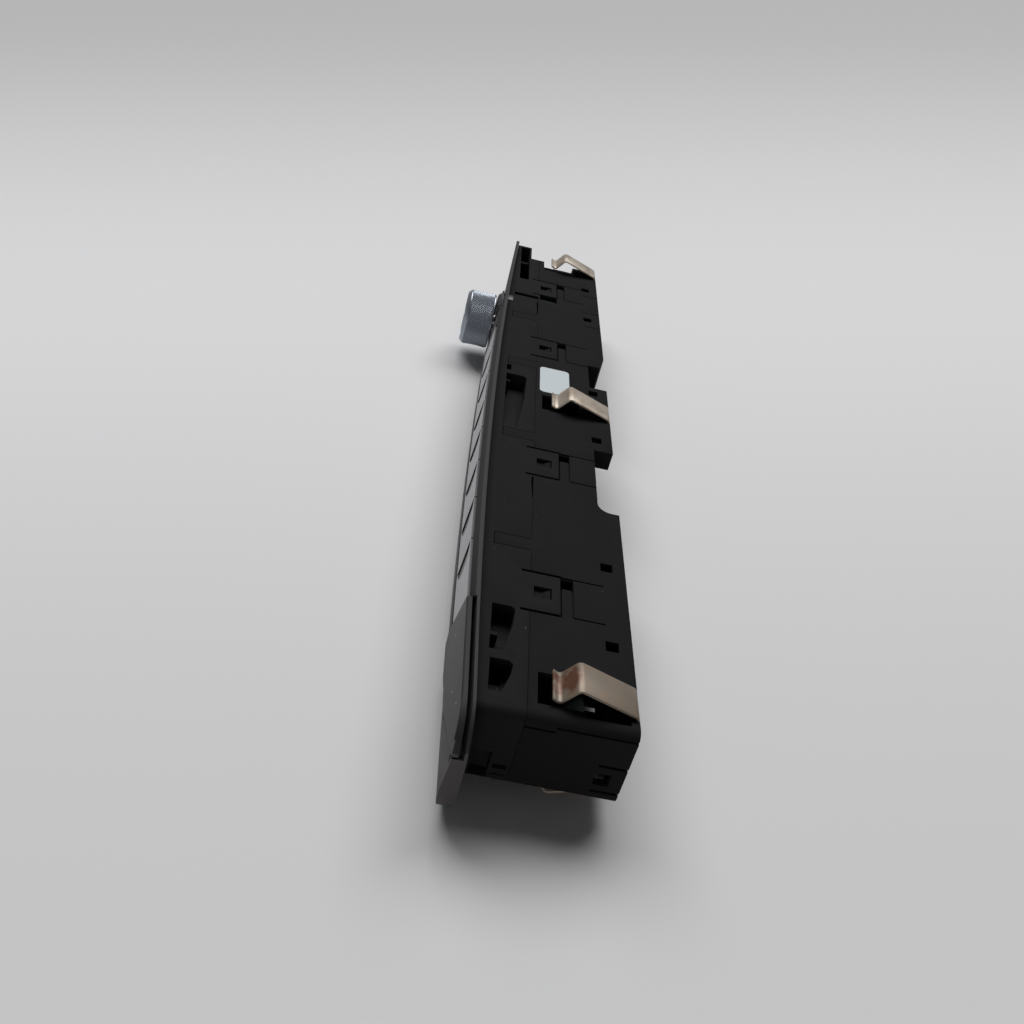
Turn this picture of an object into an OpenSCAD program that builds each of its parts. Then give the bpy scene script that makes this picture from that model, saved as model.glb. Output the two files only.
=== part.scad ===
// Dashboard switch panel: a slim bar that snaps into a slot in a dashboard.
// It is seen from the front with the knob on the left, eight push keys in the
// middle and a rocker on the right. +X runs to the right, +Y into the
// dashboard and +Z up. Inside the modules the origin is the middle of the
// housing's height, on the datum plane that the front carrier starts from.
// placed() then sets the panel on its lowest edge, centred in length and depth.

/* [Housing] */
// Length of the housing, end to end
housing_l = 288; // [284:1:296]
// Depth of the housing, from the datum plane to the rear wall
housing_d = 38; // [37:0.5:44]
// Height of the housing
housing_h = 21.5; // [21:0.5:25]
// Wall thickness of both shells
wall = 2; // [1.8:0.1:2.2]
// Radius of the housing's four long edges at its ends
edge_r = 2.5; // [2.3:0.1:3.5]
// Where the two shells meet, behind the datum plane
seam_y = 12.7; // [12.6:0.1:13.4]
// Gap between parts that are clipped together
fit_gap = 0.1; // [0.05:0.01:0.15]

/* [Fascia] */
// Length of the fascia
fascia_l = 312; // [310:1:320]
// How far the fascia's middle lies to the left of the housing's
fascia_shift = 1; // [0:0.5:2]
// Fascia above the housing's top wall
fascia_over_top = 3; // [2.5:0.25:4]
// Fascia below the housing's bottom wall
fascia_over_bottom = 5.5; // [5.4:0.1:7]
// Rear of the fascia at the crown of the bow, in front of the datum plane
fascia_back = 1.3; // [1.1:0.1:1.4]
// Thickness of the fascia just above the keys
fascia_t = 2.7; // [2.7:0.1:3.4]
// Thickness of the fascia's plain left end
fascia_thin = 1.3; // [1.2:0.1:1.6]
// Thickness of the layer that is left behind the rocker
rear_layer_t = 0.7; // [0.6:0.1:0.8]
// How much further forward the fascia stands below the keys than above them
fascia_lean = 1.4; // [1:0.1:1.6]
// Radius of the bow, seen from above
bow_r = 3300; // [3000:100:4200]
// Crown of the bow, to the right of the housing's middle
bow_x = 15; // [10:1:20]
// Radius of the left corners
left_corner_r = 6; // [4:0.5:8]
// Radius of the upper right corner
right_corner_r = 11; // [10.5:0.5:12]
// Radius of the lower right corner
low_corner_r = 13; // [10:0.5:14]
// Where the plain left end starts to rise to the thick part
ramp_x = -74; // [-76:1:-72]
// Length of that rise
ramp_l = 12; // [8:1:13]

/* [Keys] */
// Number of keys
key_count = 8; // [6:1:8]
// Distance from one key to the next
key_pitch = 20.2; // [19.8:0.1:20.4]
// Right edge of the last key, where it would stand without its slant
key_end_x = 105.8; // [105:0.1:106.5]
// Gap between two keys
key_gap = 0.4; // [0.3:0.05:0.6]
// Height of the key caps
key_h = 13; // [12.6:0.1:13.2]
// Top of the key caps, above the housing's top wall
key_rise = 0.9; // [0.7:0.05:1]
// Gap between a key and the frame round it
key_side_gap = 0.3; // [0.2:0.05:0.4]
// Depth of a key cap at its upper edge
key_cap_d = 1.8; // [1.6:0.1:1.9]
// Thickness of a key cap's skin
key_skin = 0.8; // [0.7:0.05:0.85]
// How far a key can be pressed
key_travel = 0.8; // [0.6:0.1:0.9]
// How far the lines between keys lie to the left of the middle between stems
key_shift = 2; // [1.6:0.1:2.2]
// Width of the hollow at a key's left edge, which an arc bounds at its right
groove_w = 6; // [4:0.2:6.2]
// Depth of that hollow at the key's left edge
groove_t = 0.7; // [0.5:0.05:0.8]
// Width of the key frame's rim
frame_rim = 1.4; // [1:0.1:1.5]
// Width of a key's stem
stem_w = 8; // [6:0.5:9]
// Height of a key's stem
stem_h = 3.4; // [3:0.1:3.6]

/* [Rocker] */
// How far the rocker's pivot stands to the left of the middle of its span
pivot_shift = 1.75; // [1.5:0.25:2.75]
// Height of the rocker's right tip above the housing's middle
rocker_tip_z = 5.8; // [5:0.2:6.4]
// How far the rocker reaches below the housing's middle at its left
rocker_low = 12; // [11:0.2:12.4]
// Length of the rocker's lower edge before it slants up to the tip
rocker_heel = 11.2; // [9:0.2:12]
// Height of the lower facet along the slanted edge
rocker_facet = 4; // [3:0.2:4.6]
// Gap round the rocker
rocker_gap = 0.4; // [0.4:0.05:0.5]
// How far the rocker stands proud of the fascia
rocker_proud = 0.5; // [0.4:0.05:0.6]
// Radius of the rocker's crowned front, seen from above
rocker_crown_r = 900; // [850:25:1200]
// Diameter of the rocker's pivot pin
pivot_d = 2; // [1.8:0.1:2.2]
// Tilt to each side, in degrees
rocker_tilt = 2; // [1.5:0.25:2]
// Distance from the pivot to each plunger
plunger_arm = 10; // [9:0.5:10.5]

/* [Knob] */
// Diameter of the knob
knob_d = 22; // [20:0.5:23]
// Where the knob's axis stands along the panel
knob_x = -91; // [-93:1:-90]
// Front of the knob, in front of the datum plane
knob_front = 15.1; // [13:0.1:17]
// Rear of the knob, in front of the datum plane
knob_back = 3.8; // [3.7:0.1:4]
// How far the knob can be pushed
knob_travel = 0.5; // [0.3:0.1:0.5]
// Diameter of the black ring behind the knob
ring_d = 26.4; // [26:0.2:27]
// Number of flutes round the knob
flute_count = 60; // [40:4:72]
// Depth of the flutes
flute_t = 0.25; // [0.15:0.05:0.35]
// Diameter of the knob's shaft
shaft_d = 6; // [5:0.5:6]
// Running clearance round shafts, on the radius
run_gap = 0.05; // [0.03:0.01:0.08]

/* [Clips] */
// Width of a spring clip
clip_w = 9.6; // [8.5:0.1:10]
// Thickness of the spring strip
clip_t = 0.6; // [0.5:0.05:0.7]
// Height of a clip's peak above the wall
clip_rise = 5.2; // [4.8:0.1:5.3]
// Where the peak lies, in front of the rear wall
clip_peak = 14.6; // [13.6:0.1:15]
// Where the tip lies, in front of the rear wall
clip_tip = 20; // [19.6:0.1:20.4]
// Length of the leg behind the rear wall
clip_leg = 7; // [5:0.5:7.5]

/* [Latches] */
// Width of a snap tongue
tongue_w = 15; // [14:0.2:15.4]
// Length of a snap tongue behind the seam
tongue_l = 7.7; // [7.4:0.1:8]
// Thickness of a snap tongue
tongue_t = 1.1; // [1:0.05:1.2]
// Width of the slit beside a tongue
slit_w = 0.9; // [0.6:0.1:1]
// Width of a guide finger
guide_w = 5; // [4:0.2:5.4]
// Length of a guide finger in front of the seam
guide_l = 9.9; // [9:0.1:10]

/* [Connector] */
// Width of the socket
socket_w = 28; // [24:1:30]
// Height of the socket
socket_h = 7.8; // [7.4:0.1:7.8]
// Thickness of the socket's walls
socket_wall = 1.2; // [1:0.1:1.3]
// Middle of the socket along the panel
socket_x = -2; // [-4:1:0]
// Depth of the plug bay in the rear wall
bay_d = 6.2; // [5.6:0.1:6.4]
// Left edge of the plug bay
bay_left = -24; // [-26:1:-22]
// Right edge of the plug bay
bay_right = 56; // [54:1:58]
// Right end of the roof over the plug bay
roof_right = 20.6; // [19:0.2:22]
// Height of the roof's edge over the plug bay
roof_h = 6; // [5.9:0.05:6.1]
// Left edge of the notch beside the bay
notch_left = -42; // [-44:1:-40]

/* [Boards] */
// Thickness of the circuit boards
board_t = 1.6; // [1.4:0.1:1.6]
// Underside of the main board, above the housing's inner floor
main_board_lift = 4; // [3.8:0.1:4.2]
// Front of the key board, behind the datum plane
key_board_y = 11.2; // [11.1:0.1:11.3]
// Thickness of the rubber mat's base
mat_t = 1; // [0.8:0.1:1.1]
// Height of the rubber domes
dome_h = 0.9; // [0.7:0.05:0.9]

/* [Hidden] */

$fn = 48;
// Small overlap that keeps a cut from ending on a face
cut = 1;

half_l = housing_l / 2;
half_h = housing_h / 2;
inner_r = max(0.3, edge_r - wall);
inner_half_l = half_l - wall;
inner_half_h = half_h - wall;

fascia_x0 = -fascia_shift - fascia_l / 2;
fascia_x1 = -fascia_shift + fascia_l / 2;
fascia_top = half_h + fascia_over_top;
fascia_low = -half_h - fascia_over_bottom;
fascia_mid = (fascia_top + fascia_low) / 2;
// Front of the fascia just above the keys, and where it starts to curve under
front_top = fascia_back + fascia_t;
front_low = front_top + fascia_lean;
// Height and depth of the sloping band along the upper front edge
top_bevel = 1.6;
top_bevel_d = 1.6;
// Height of the curve that takes the lower front back to the rear
chin_h = 12;
chin_z = fascia_low + chin_h;
chin_steps = 10;
// Blunt foot at the rear of that curve
chin_foot = 1;
chin_land = 0.4;
front_slope = fascia_lean / (fascia_top - top_bevel - chin_z);

// The bow is a short stretch of a very large circle
bow_half = asin(fascia_l / 2 * 1.12 / bow_r) + asin(fascia_shift / bow_r);
bow_pieces = 24;
bow_fn = ceil(bow_pieces * 360 / (2 * bow_half));
// Depth and height of a slab that reaches past the whole front
far_y = 40;
far_z = 60;

key_top = half_h + key_rise;
key_low = key_top - key_h;
keys_x0 = key_end_x - key_count * key_pitch;
key_mid_z = (key_top + key_low) / 2;
// Front of the caps stands this much prouder than the fascia
key_proud = 0.1;
// Rear of the caps, in front of the fascia's rear
cap_back = front_top + key_proud - key_cap_d;
key_mid_front = front_at(key_mid_z) + key_proud;
stem_z = key_low + 2.55;
stem_end = key_board_y - mat_t - dome_h - key_travel - 0.1;
// The last key's right edge slants: how far its foot and its head are moved
end_foot = -1.4;
end_head = 3.4;
// What is left of the key above and below its hollow, and the step at its arc
groove_edge = 0.7;
groove_step = 0.12;
// Half height of the hollow, and the radius of the arc that bounds it
leaf_h = key_h / 2 - groove_edge;
leaf_r = (leaf_h * leaf_h + groove_w * groove_w) / (2 * groove_w);
front_tilt = atan(front_slope);

// How far the rocker's outline stands inside the fascia's
rocker_inset = 0.3;
rocker_top = fascia_top - rocker_inset;
rocker_x1 = fascia_x1 - rocker_inset;
rocker_foot_x = key_edge(key_low) + rocker_gap;
rocker_mid = (rocker_foot_x + rocker_x1) / 2 - pivot_shift;
// Angle of the rocker's slanted lower edge
rocker_slant = atan((rocker_tip_z + rocker_low) / (rocker_x1 - rocker_foot_x - rocker_heel));
// Where the crown of the rocker's front lies
rocker_crown_x = 118;
rocker_step = 0.4;
rocker_bevel = 0.7;
// Room behind the rocker for its travel
rocker_room = 1.05;
rocker_back = fascia_back + rear_layer_t + rocker_room;
// Pivot behind the bow's surface, in the rocker's own place on the bow
pivot_y = 0;
pivot_boss_r = pivot_d / 2 + 1.1;
pivot_boss_z0 = key_low + 3.65;
pivot_boss_z1 = pivot_boss_z0 + 3.4;
ear_h = 1.8;
ear_gap = 0.15;
plunger_w = 5;
// How much sooner the rocker's plungers end than the keys' stems
plunger_gap = 0.3;
window_room = 0.8;

frame_x0 = keys_x0 - key_side_gap - frame_rim;
frame_upper_rim = 0.45;
frame_top = key_top + key_side_gap + frame_upper_rim;
frame_low = key_low - key_side_gap - frame_rim;
// How far the frame's front lies behind the fascia's
frame_set_back = 0.8;

plate_y = 2.6;
plate_t = 1.6;
carrier_gap = 0.05;

knob_z = fascia_mid;
ring_neck_d = ring_d - 2;
// What stays between the pushed knob and the ring
push_room = 0.15;
ring_front = knob_back - knob_travel - push_room;
ring_back = 1.35;
// Depth of the dish in the ring's front, and the width of the step round its bore
ring_dish = 1;
ring_step = 1.6;
ring_bore_gap = 0.4;
sleeve_wall = 0.9;
hub_d = knob_d - 2 * sleeve_wall;
// Rounding of the sleeve's front edge, its smooth rear rim, and the hub's and cap's sections
sleeve_round = 1.7;
sleeve_rim = 0.5;
sleeve_lip = 1;
hub_wall = 1.4;
hub_core_r = 5;
hub_web = 1.6;
hub_core_end = 0.6;
// The D-shaped end of the shaft stops here, in front of the knob's rear
shaft_flat_end = 0.4;
shaft_flat = 0.25;
cap_t = 1.5;
shaft_front = knob_front - 2.6;
shaft_end = 7.2;
nose_d = 2.4;
nose_l = 1.2;
encoder_w = 12;
encoder_h = 13;
encoder_front = 4.3;
bushing_d = 9;
bushing_front = 0.9;
chamber_d = 7.2;
chamber_end = 10.6;
plunger_d = 6.8;
plunger_front = shaft_end + 0.2;
plunger_t = 1.8;

guide_x = [-75, -32.3, 20.6, 79.7];
// Each latch: middle of its tongue
latch_x = [-109, -48.4, 35.5, 99.6];
latch_window = [4.4, 4.6];
latch_window_y = seam_y + 0.9;
slit_l = 2.4;
tip_gap = 0.4;
panel_y = seam_y + tongue_l + 3.4;
line_w = 0.5;
line_t = 0.5;
rear_window = [3.6, 3.3];
rear_window_y = housing_d - 6.7;
rear_window_x = [-118, -85.5, -19.5, 14, 83.3, 115.3];
fine_line = 0.4;
fine_line_off = 7;

clip_left = -half_l + clip_w / 2 + 1;
clip_right = half_l - clip_w / 2 - 5;
// The middle clip below stands to the left of the plug bay
clips_above = [clip_left, -4.9, clip_right];
clips_below = [clip_left, -64, clip_right];
// Front edge of a clip's window, in front of the rear wall
clip_window_end = 23;
clip_window_y = housing_d - clip_window_end;
clip_window_l = 13;
clip_side_gap = 0.3;
// Bend radius of a clip's centre line, and what its bends take off its height
clip_bend_r = 1.3;
clip_lift = 0.3;
// Length and height of the curl at a clip's tip
clip_curl = 1.8;
clip_curl_h = 1.1;
clip_valley = 0.3;
bend_steps = 4;
leg_recess = clip_t + 0.05;

bay_y = housing_d - bay_d;
main_board_z = -inner_half_h + main_board_lift;
main_top = main_board_z + board_t;
board_x = 136;
main_board_y0 = seam_y + 1.4;
main_board_y1 = bay_y - wall - 0.3;
screw_x = [-104, 44, 112];
screw_y = 22;
screw_d = 2;
screw_head_d = 3.8;
screw_head_t = 1.2;
boss_d = 5;
// How deep a boss is rooted in the wall
boss_root = 0.4;
socket_depth = 12.4;
socket_y0 = bay_y - socket_depth;
// Keyway for the plug's latch: its width, its depth and what it leaves of the wall
keyway_w = 6;
keyway_d = 5;
keyway_skin = 0.5;
socket_floor = 1.2;
pin_w = 0.64;
pin_pitch = 4;
pin_rows = [main_top + 2.3, main_top + 5.1];
pin_cols = 6;
pin_step = 1.3;
pin_y0 = socket_y0 - 2.4;
pin_y1 = socket_y0 + 6.2;
link_x0 = 58;
link_l = 26;
link_h = 3;
link_d = 5;
mat_low = key_low - 2.55;
mat_high = key_low + 4.85;
dome_base_d = 6;
dome_tip_d = 3.6;
// Mat beyond the last dome
mat_margin = 0.8;
peg_x = [-125, -66, 40, 90];
peg_z = -6.2;
peg_d = 3;
// How deep a peg's root goes into the fascia
peg_root = 0.5;
ear_l = 12;
ear_wall_y = 4.6;
ear_y1 = 9.2;
ear_wall = 0.7;
// Length of the opening that goes on from the ear
ear_slot_l = 29;
label_size = [19.4, 10.4];
label_mid = [-22.2, 19.3];
label_t = 0.12;

front_most = knob_front;
mid_y = (housing_d - front_most) / 2;

// Sets the panel on its lowest edge, centred in length and depth
module placed() {
  translate([fascia_shift, -mid_y, -fascia_low])
    children();
}

// A box from one corner to the opposite one
module block(low, high) {
  translate(low)
    cube(high - low);
}

// An outline drawn as [x, z], made solid from y0 to y1
module upright(y0, y1) {
  translate([0, y1, 0])
    rotate([90, 0, 0])
      linear_extrude(y1 - y0)
        children();
}

// A section drawn as [y, z], made solid from x0 to x1
module along_x(x0, x1) {
  translate([x0, 0, 0])
    rotate([90, 0, 90])
      linear_extrude(x1 - x0)
        children();
}

// A round bar whose axis runs along Y
module bar_y(d, y0, y1) {
  translate([0, y1, 0])
    rotate([90, 0, 0])
      cylinder(h = y1 - y0, d = d);
}

// A section drawn as [y, z] at the crown, swept along the bow
module bowed() {
  translate([bow_x, bow_r, 0])
    rotate([0, 0, -90 - bow_half])
      rotate_extrude(angle = 2 * bow_half, $fn = bow_fn)
        translate([bow_r, 0])
          mirror([1, 0])
            children();
}

// How far the bow lies behind its crown at x
function bow(x) = bow_r - sqrt(bow_r * bow_r - (x - bow_x) * (x - bow_x));

// How far the fascia's front stands before the bow at height z, above the chin
function front_at(z) = front_low - front_slope * (z - chin_z);

// The bit that rounds a corner of radius r, drawn at the corner
module corner_bit(r) {
  difference() {
    translate([-cut, -cut])
      square(r + cut);
    translate([r, r])
      circle(r);
  }
}

// A rectangle with its own radius at each corner
module soft_rect(x0, x1, z0, z1, r_low_left, r_low_right, r_top_left, r_top_right) {
  difference() {
    translate([x0, z0])
      square([x1 - x0, z1 - z0]);
    translate([x0, z0])
      corner_bit(r_low_left);
    translate([x1, z0])
      mirror([1, 0])
        corner_bit(r_low_right);
    translate([x0, z1])
      mirror([0, 1])
        corner_bit(r_top_left);
    translate([x1, z1])
      rotate(180)
        corner_bit(r_top_right);
  }
}

module even_rect(x0, x1, z0, z1, r) {
  soft_rect(x0, x1, z0, z1, r, r, r, r);
}

module housing_outline() {
  even_rect(-half_l, half_l, -half_h, half_h, edge_r);
}

module inner_outline() {
  even_rect(-inner_half_l, inner_half_l, -inner_half_h, inner_half_h, inner_r);
}

// What is drawn for the top wall, and again for the bottom wall
module both_walls() {
  children();
  mirror([0, 0, 1])
    children();
}

// Points along the bow from x0 to x1, moved back by back_y
function bow_line(x0, x1, back_y, steps) = [for (i = [0 : steps])
  let (x = x0 + (x1 - x0) * i / steps)
  [x, bow(x) + back_y]];

// Everything in front of a bowed surface that lies back_y behind the datum
module ahead_of(back_y) {
  reach = fascia_l / 2 + 10;
  translate([0, 0, -far_z / 2])
    linear_extrude(far_z)
      polygon(concat(bow_line(-reach, reach, back_y, bow_pieces), [[reach, -far_y], [-reach, -far_y]]));
}

// The last key's slanted right edge, at height z
function key_edge(z) = key_end_x + end_foot + (end_head - end_foot) * (z - key_low) / key_h;

// Puts what is drawn at the crown of the bow at x, turned along the bow
module on_bow(x) {
  translate([x, bow(x), 0])
    rotate([0, 0, asin((x - bow_x) / bow_r)])
      children();
}

// Section of the front: a chamfered top edge, a leaning face and a round chin
// on a narrow foot. It runs past the outline that it is cut to, above and below.
module front_section(proud, bevel_h, bevel_d) {
  depth = front_low + proud - fascia_back - chin_foot;
  chin = [for (i = [0 : chin_steps])
    let (a = 90 * i / chin_steps)
    [-fascia_back - chin_foot - depth * cos(a), chin_z - (chin_h - chin_land) * sin(a)]];
  top = fascia_top - bevel_h;
  polygon(concat(
    [[-fascia_back, fascia_low - cut], [-fascia_back, fascia_top + fit_gap],
     [-front_at(top) - proud + bevel_d * (bevel_h + fit_gap) / bevel_h, fascia_top + fit_gap],
     [-front_at(top) - proud, top]],
    chin,
    [[-fascia_back - chin_foot, fascia_low - cut]]));
}

module fascia_outline() {
  soft_rect(fascia_x0, fascia_x1, fascia_low, fascia_top,
            left_corner_r, low_corner_r, left_corner_r, right_corner_r);
}

// Opening for the key frame, or the frame itself when grow is 0. Its right end
// slants as the last key does and lies to the right of that key by room.
module frame_outline(grow, room) {
  low = frame_low - grow;
  high = frame_top + grow;
  polygon([[frame_x0 - grow, low], [key_edge(low) + room, low],
           [key_edge(high) + room, high], [frame_x0 - grow, high]]);
}

// Outline of the rocker, or of its place in the fascia when grow is more than 0.
// Its upper right corner follows the fascia's outline and its foot slants down.
module rocker_outline(grow, facet) {
  foot_x = rocker_foot_x - grow;
  heel_x = rocker_foot_x + rocker_heel + grow * tan(rocker_slant / 2);
  head = rocker_top + grow;
  tip_x = rocker_x1 + grow;
  tip_z = rocker_tip_z - grow * tan(45 - rocker_slant / 2);
  low = -rocker_low - grow;
  intersection() {
    soft_rect(foot_x, tip_x, low, head, 1, 0.4, 0.4, right_corner_r - rocker_inset + grow);
    polygon([[foot_x, low + facet], [foot_x, key_low], [key_edge(head) + rocker_gap - grow, head],
             [tip_x, head], [tip_x, tip_z + facet], [heel_x, low + facet]]);
  }
}

// Place for the rocker in front of the fascia's rear layer, open above and at
// the right end
module rocker_pocket() {
  intersection() {
    bowed_layer(-far_y, -fascia_back - rear_layer_t);
    upright(-far_y, far_y) {
      rocker_outline(rocker_gap, 0);
      polygon([[key_edge(rocker_top), rocker_top - cut], [key_edge(fascia_top + cut), fascia_top + cut],
               [rocker_x1 + 2 * cut, fascia_top + cut], [rocker_x1 + 2 * cut, rocker_tip_z - rocker_gap],
               [rocker_x1 - cut, rocker_tip_z - rocker_gap], [rocker_x1 - cut, rocker_top - right_corner_r],
               [rocker_x1 - right_corner_r, rocker_top - cut]]);
    }
  }
}

// Windows in the fascia's rear layer for the rocker's boss and its plungers
module rocker_windows() {
  half_w = pivot_boss_r + window_room;
  on_bow(rocker_mid)
    block([-half_w, -far_y, pivot_boss_z0 - ear_gap - ear_h - key_side_gap],
          [half_w, far_y, pivot_boss_z1 + ear_gap + ear_h + key_side_gap]);
  for (side = [-1, 1])
    translate([rocker_mid + side * plunger_arm, 0, stem_z])
      block([-plunger_w / 2 - window_room, -far_y, -stem_h / 2 - key_side_gap],
            [plunger_w / 2 + window_room, far_y, stem_h / 2 + key_side_gap]);
}

// The bowed layer from y0 to y1 at the crown, taller than the whole front
module bowed_layer(y0, y1) {
  bowed()
    translate([y0, -far_z / 2])
      square([y1 - y0, far_z]);
}

// Takes the plain left end down to a thin plate, with a slope at its right
module left_relief() {
  start = fascia_x0 - 10;
  thin_front = -fascia_back - fascia_thin;
  intersection() {
    bowed_layer(-far_y, thin_front);
    translate([0, 0, -far_z / 2])
      linear_extrude(far_z)
        polygon([[start, far_y], [ramp_x, bow(ramp_x) + thin_front + cut], [ramp_x, bow(ramp_x) + thin_front],
                 [ramp_x + ramp_l, -front_low - 2], [ramp_x + ramp_l, -far_y], [start, -far_y]]);
  }
}

module fascia() {
  color([0.4, 0.39, 0.39])
    placed() {
      difference() {
        intersection() {
          bowed()
            front_section(0, top_bevel, top_bevel_d);
          upright(-far_y, far_y)
            fascia_outline();
        }
        left_relief();
        upright(-far_y, far_y)
          frame_outline(fit_gap, key_side_gap);
        translate([knob_x, 0, knob_z])
          bar_y(ring_neck_d + 2 * fit_gap, -far_y, far_y);
        rocker_pocket();
        rocker_windows();
        // Hollow behind the thick lower part
        intersection() {
          bowed_layer(-front_top + fascia_thin, cut);
          upright(-far_y, far_y)
            even_rect(frame_x0, rocker_foot_x - rocker_gap - wall, -half_h + wall, frame_low - wall, 1);
        }
      }
      fascia_pegs(0);
    }
}

// Pegs on the fascia that the front carrier is pressed on to. The first two
// stand on its solid part and the others in the hollow behind the keys.
module fascia_pegs(gap) {
  for (x = peg_x)
    translate([x, 0, peg_z])
      bar_y(peg_d + 2 * gap, bow(x) - (x < frame_x0 ? fascia_back : front_top - fascia_thin) - peg_root,
            plate_y + plate_t + gap);
}

module key_frame() {
  color([0.2, 0.2, 0.21])
    placed()
      difference() {
        intersection() {
          bowed()
            front_section(-frame_set_back, top_bevel, top_bevel_d);
          upright(-far_y, far_y)
            frame_outline(0, -fit_gap);
        }
        // It is open at the right, where the rocker begins
        block([frame_x0 + frame_rim, -far_y, frame_low + frame_rim],
              [rocker_mid, far_y, frame_top - frame_upper_rim]);
      }
}

// A core-out in a wall: a deep end on the left and a floor that rises to the
// right, with its rear edge drawn in towards the shallow end
module core_out(x0, x1, y0, y1, deep, shallow) {
  nearly = x0 + (x1 - x0) * 0.4;
  intersection() {
    translate([0, 0, half_h - deep - cut])
      linear_extrude(deep + 2 * cut)
        polygon([[x0, y0], [x0, y1 - 1], [x0 + 1, y1], [nearly, y1 - 0.4],
                 [x1, y1 - 2.4], [x1, y0]]);
    upright(y0 - cut, y1 + cut)
      polygon([[x0 - cut, half_h - deep], [nearly, half_h - deep], [x1 + cut, half_h - shallow],
               [x1 + cut, half_h + cut], [x0 - cut, half_h + cut]]);
  }
}

core_wall = 1.1;
core_deep = 5;

// The solid round a core-out
module core_liner(x0, x1, y0, y1) {
  block([x0 - core_wall, y0 - core_wall, half_h - core_deep - core_wall],
        [x1 + core_wall, y1 + core_wall, half_h - wall / 2]);
}

// Each core-out: left, right, front, rear, shallow end's depth
core_outs = [[-21, 17, 2.4, 9.4, 0.4], [107.5, 124.3, 3.5, 9.2, 2], [127.3, 138, 3.9, 9.3, 3]];
// Each rib that stands in a core-out: left, right, front, rear
core_ribs = [[-16.4, -15.4, 2.4, 3.9], [117.9, 119.1, 3.5, 5.4]];

module carrier_shell() {
  difference() {
    upright(-far_y / 8, seam_y)
      housing_outline();
    difference() {
      upright(-far_y / 8 - cut, seam_y + cut)
        inner_outline();
      upright(plate_y, plate_y + plate_t)
        inner_outline();
    }
  }
}

// Hollow ear at the left end, open at the top
module left_ear() {
  difference() {
    block([-half_l - ear_l, 0, -half_h + edge_r], [-half_l + wall, ear_y1, half_h]);
    block([-half_l - ear_l + wall * 0.75, ear_wall_y, -half_h + edge_r + wall],
          [-half_l + wall + cut, ear_y1 - ear_wall, half_h + cut]);
  }
}

module snap_tongues() {
  for (x = latch_x)
    difference() {
      block([x - tongue_w / 2, seam_y - cut, half_h - tongue_t],
            [x + tongue_w / 2, seam_y + tongue_l, half_h]);
      block([x - latch_window.x / 2, latch_window_y, half_h - tongue_t - cut],
            [x + latch_window.x / 2, latch_window_y + latch_window.y, half_h + cut]);
    }
}

module tongue_slits() {
  for (x = latch_x)
    for (side = [-1, 1])
      translate([x + side * (tongue_w + slit_w) / 2, 0, 0])
        block([-slit_w / 2, seam_y - slit_l, half_h - wall - cut],
              [slit_w / 2, seam_y + cut, half_h + cut]);
}

// Two ears that hold the rocker's pin, on the front plate
module pivot_ears(d) {
  arm = plate_y - bow(rocker_mid) - pivot_y + plate_t / 2;
  for (z = [pivot_boss_z0 - ear_gap - ear_h, pivot_boss_z1 + ear_gap])
    on_bow(rocker_mid)
      translate([0, pivot_y, z]) {
        cylinder(h = ear_h, d = d);
        block([-d / 2, 0, 0], [d / 2, arm, ear_h]);
      }
}

// The line that the rocker turns about
module pivot_bar(d, z0, z1) {
  on_bow(rocker_mid)
    translate([0, pivot_y, z0])
      cylinder(h = z1 - z0, d = d);
}

module stem_openings() {
  for (i = [0 : key_count - 1])
    translate([keys_x0 + (i + 0.5) * key_pitch, 0, stem_z])
      block([-stem_w / 2 - key_side_gap, 0, -stem_h / 2 - key_side_gap],
            [stem_w / 2 + key_side_gap, key_board_y, stem_h / 2 + key_side_gap]);
  for (side = [-1, 1])
    translate([rocker_mid + side * plunger_arm, 0, stem_z])
      block([-plunger_w / 2 - window_room, 0, -stem_h / 2 - key_side_gap],
            [plunger_w / 2 + window_room, key_board_y, stem_h / 2 + key_side_gap]);
}

// Room for the rocker's boss in the front plate, between the two ears
module pivot_opening() {
  half_w = pivot_boss_r + window_room;
  on_bow(rocker_mid)
    block([-half_w, 0, pivot_boss_z0 - ear_gap], [half_w, key_board_y / 2, pivot_boss_z1 + ear_gap]);
}

// Pocket and slot low on the right end wall, and the pocket's liner
end_pocket = [3.8, 8, -9.2, -1.3];
end_pocket_d = 3;
// Slot and groove behind the pocket: low and high edge
end_slot = [-6, -4.7];
end_slot_d = 1.4;
end_line = [-8, -7.6];
end_inset = 0.8;

module end_liner() {
  block([half_l - end_pocket_d - core_wall, end_pocket[0] - core_wall, -half_h + wall / 2],
        [half_l - wall / 2, end_pocket[1] + core_wall, end_pocket[3] + core_wall]);
}

module end_cuts() {
  block([half_l - end_pocket_d, end_pocket[0], end_pocket[2]],
        [half_l + cut, end_pocket[1], end_pocket[3]]);
  block([half_l - end_slot_d, end_pocket[1] + end_inset, end_slot[0]],
        [half_l + cut, seam_y - end_inset, end_slot[1]]);
  block([half_l - line_t, end_pocket[1] + end_inset, end_line[0]],
        [half_l + cut, seam_y - end_inset, end_line[1]]);
}

// Small hole beside the first core-out: place, size and depth
small_hole_x = -28.3;
small_hole_y = 2.3;
small_hole = [4.8, 1.6];
small_hole_d = 1.5;
// Broad shallow groove beside the left guide
groove_x = -98.2;
groove_l = 3.6;
groove_y = 3;
groove_d = 0.8;
// Two stretches where the seam stands open, and by how much
open_seams = [[45, 56], [-92, -80]];
open_seam = 0.5;
// How far the ribs in the core-outs stay below the wall
rib_drop = 0.3;

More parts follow.
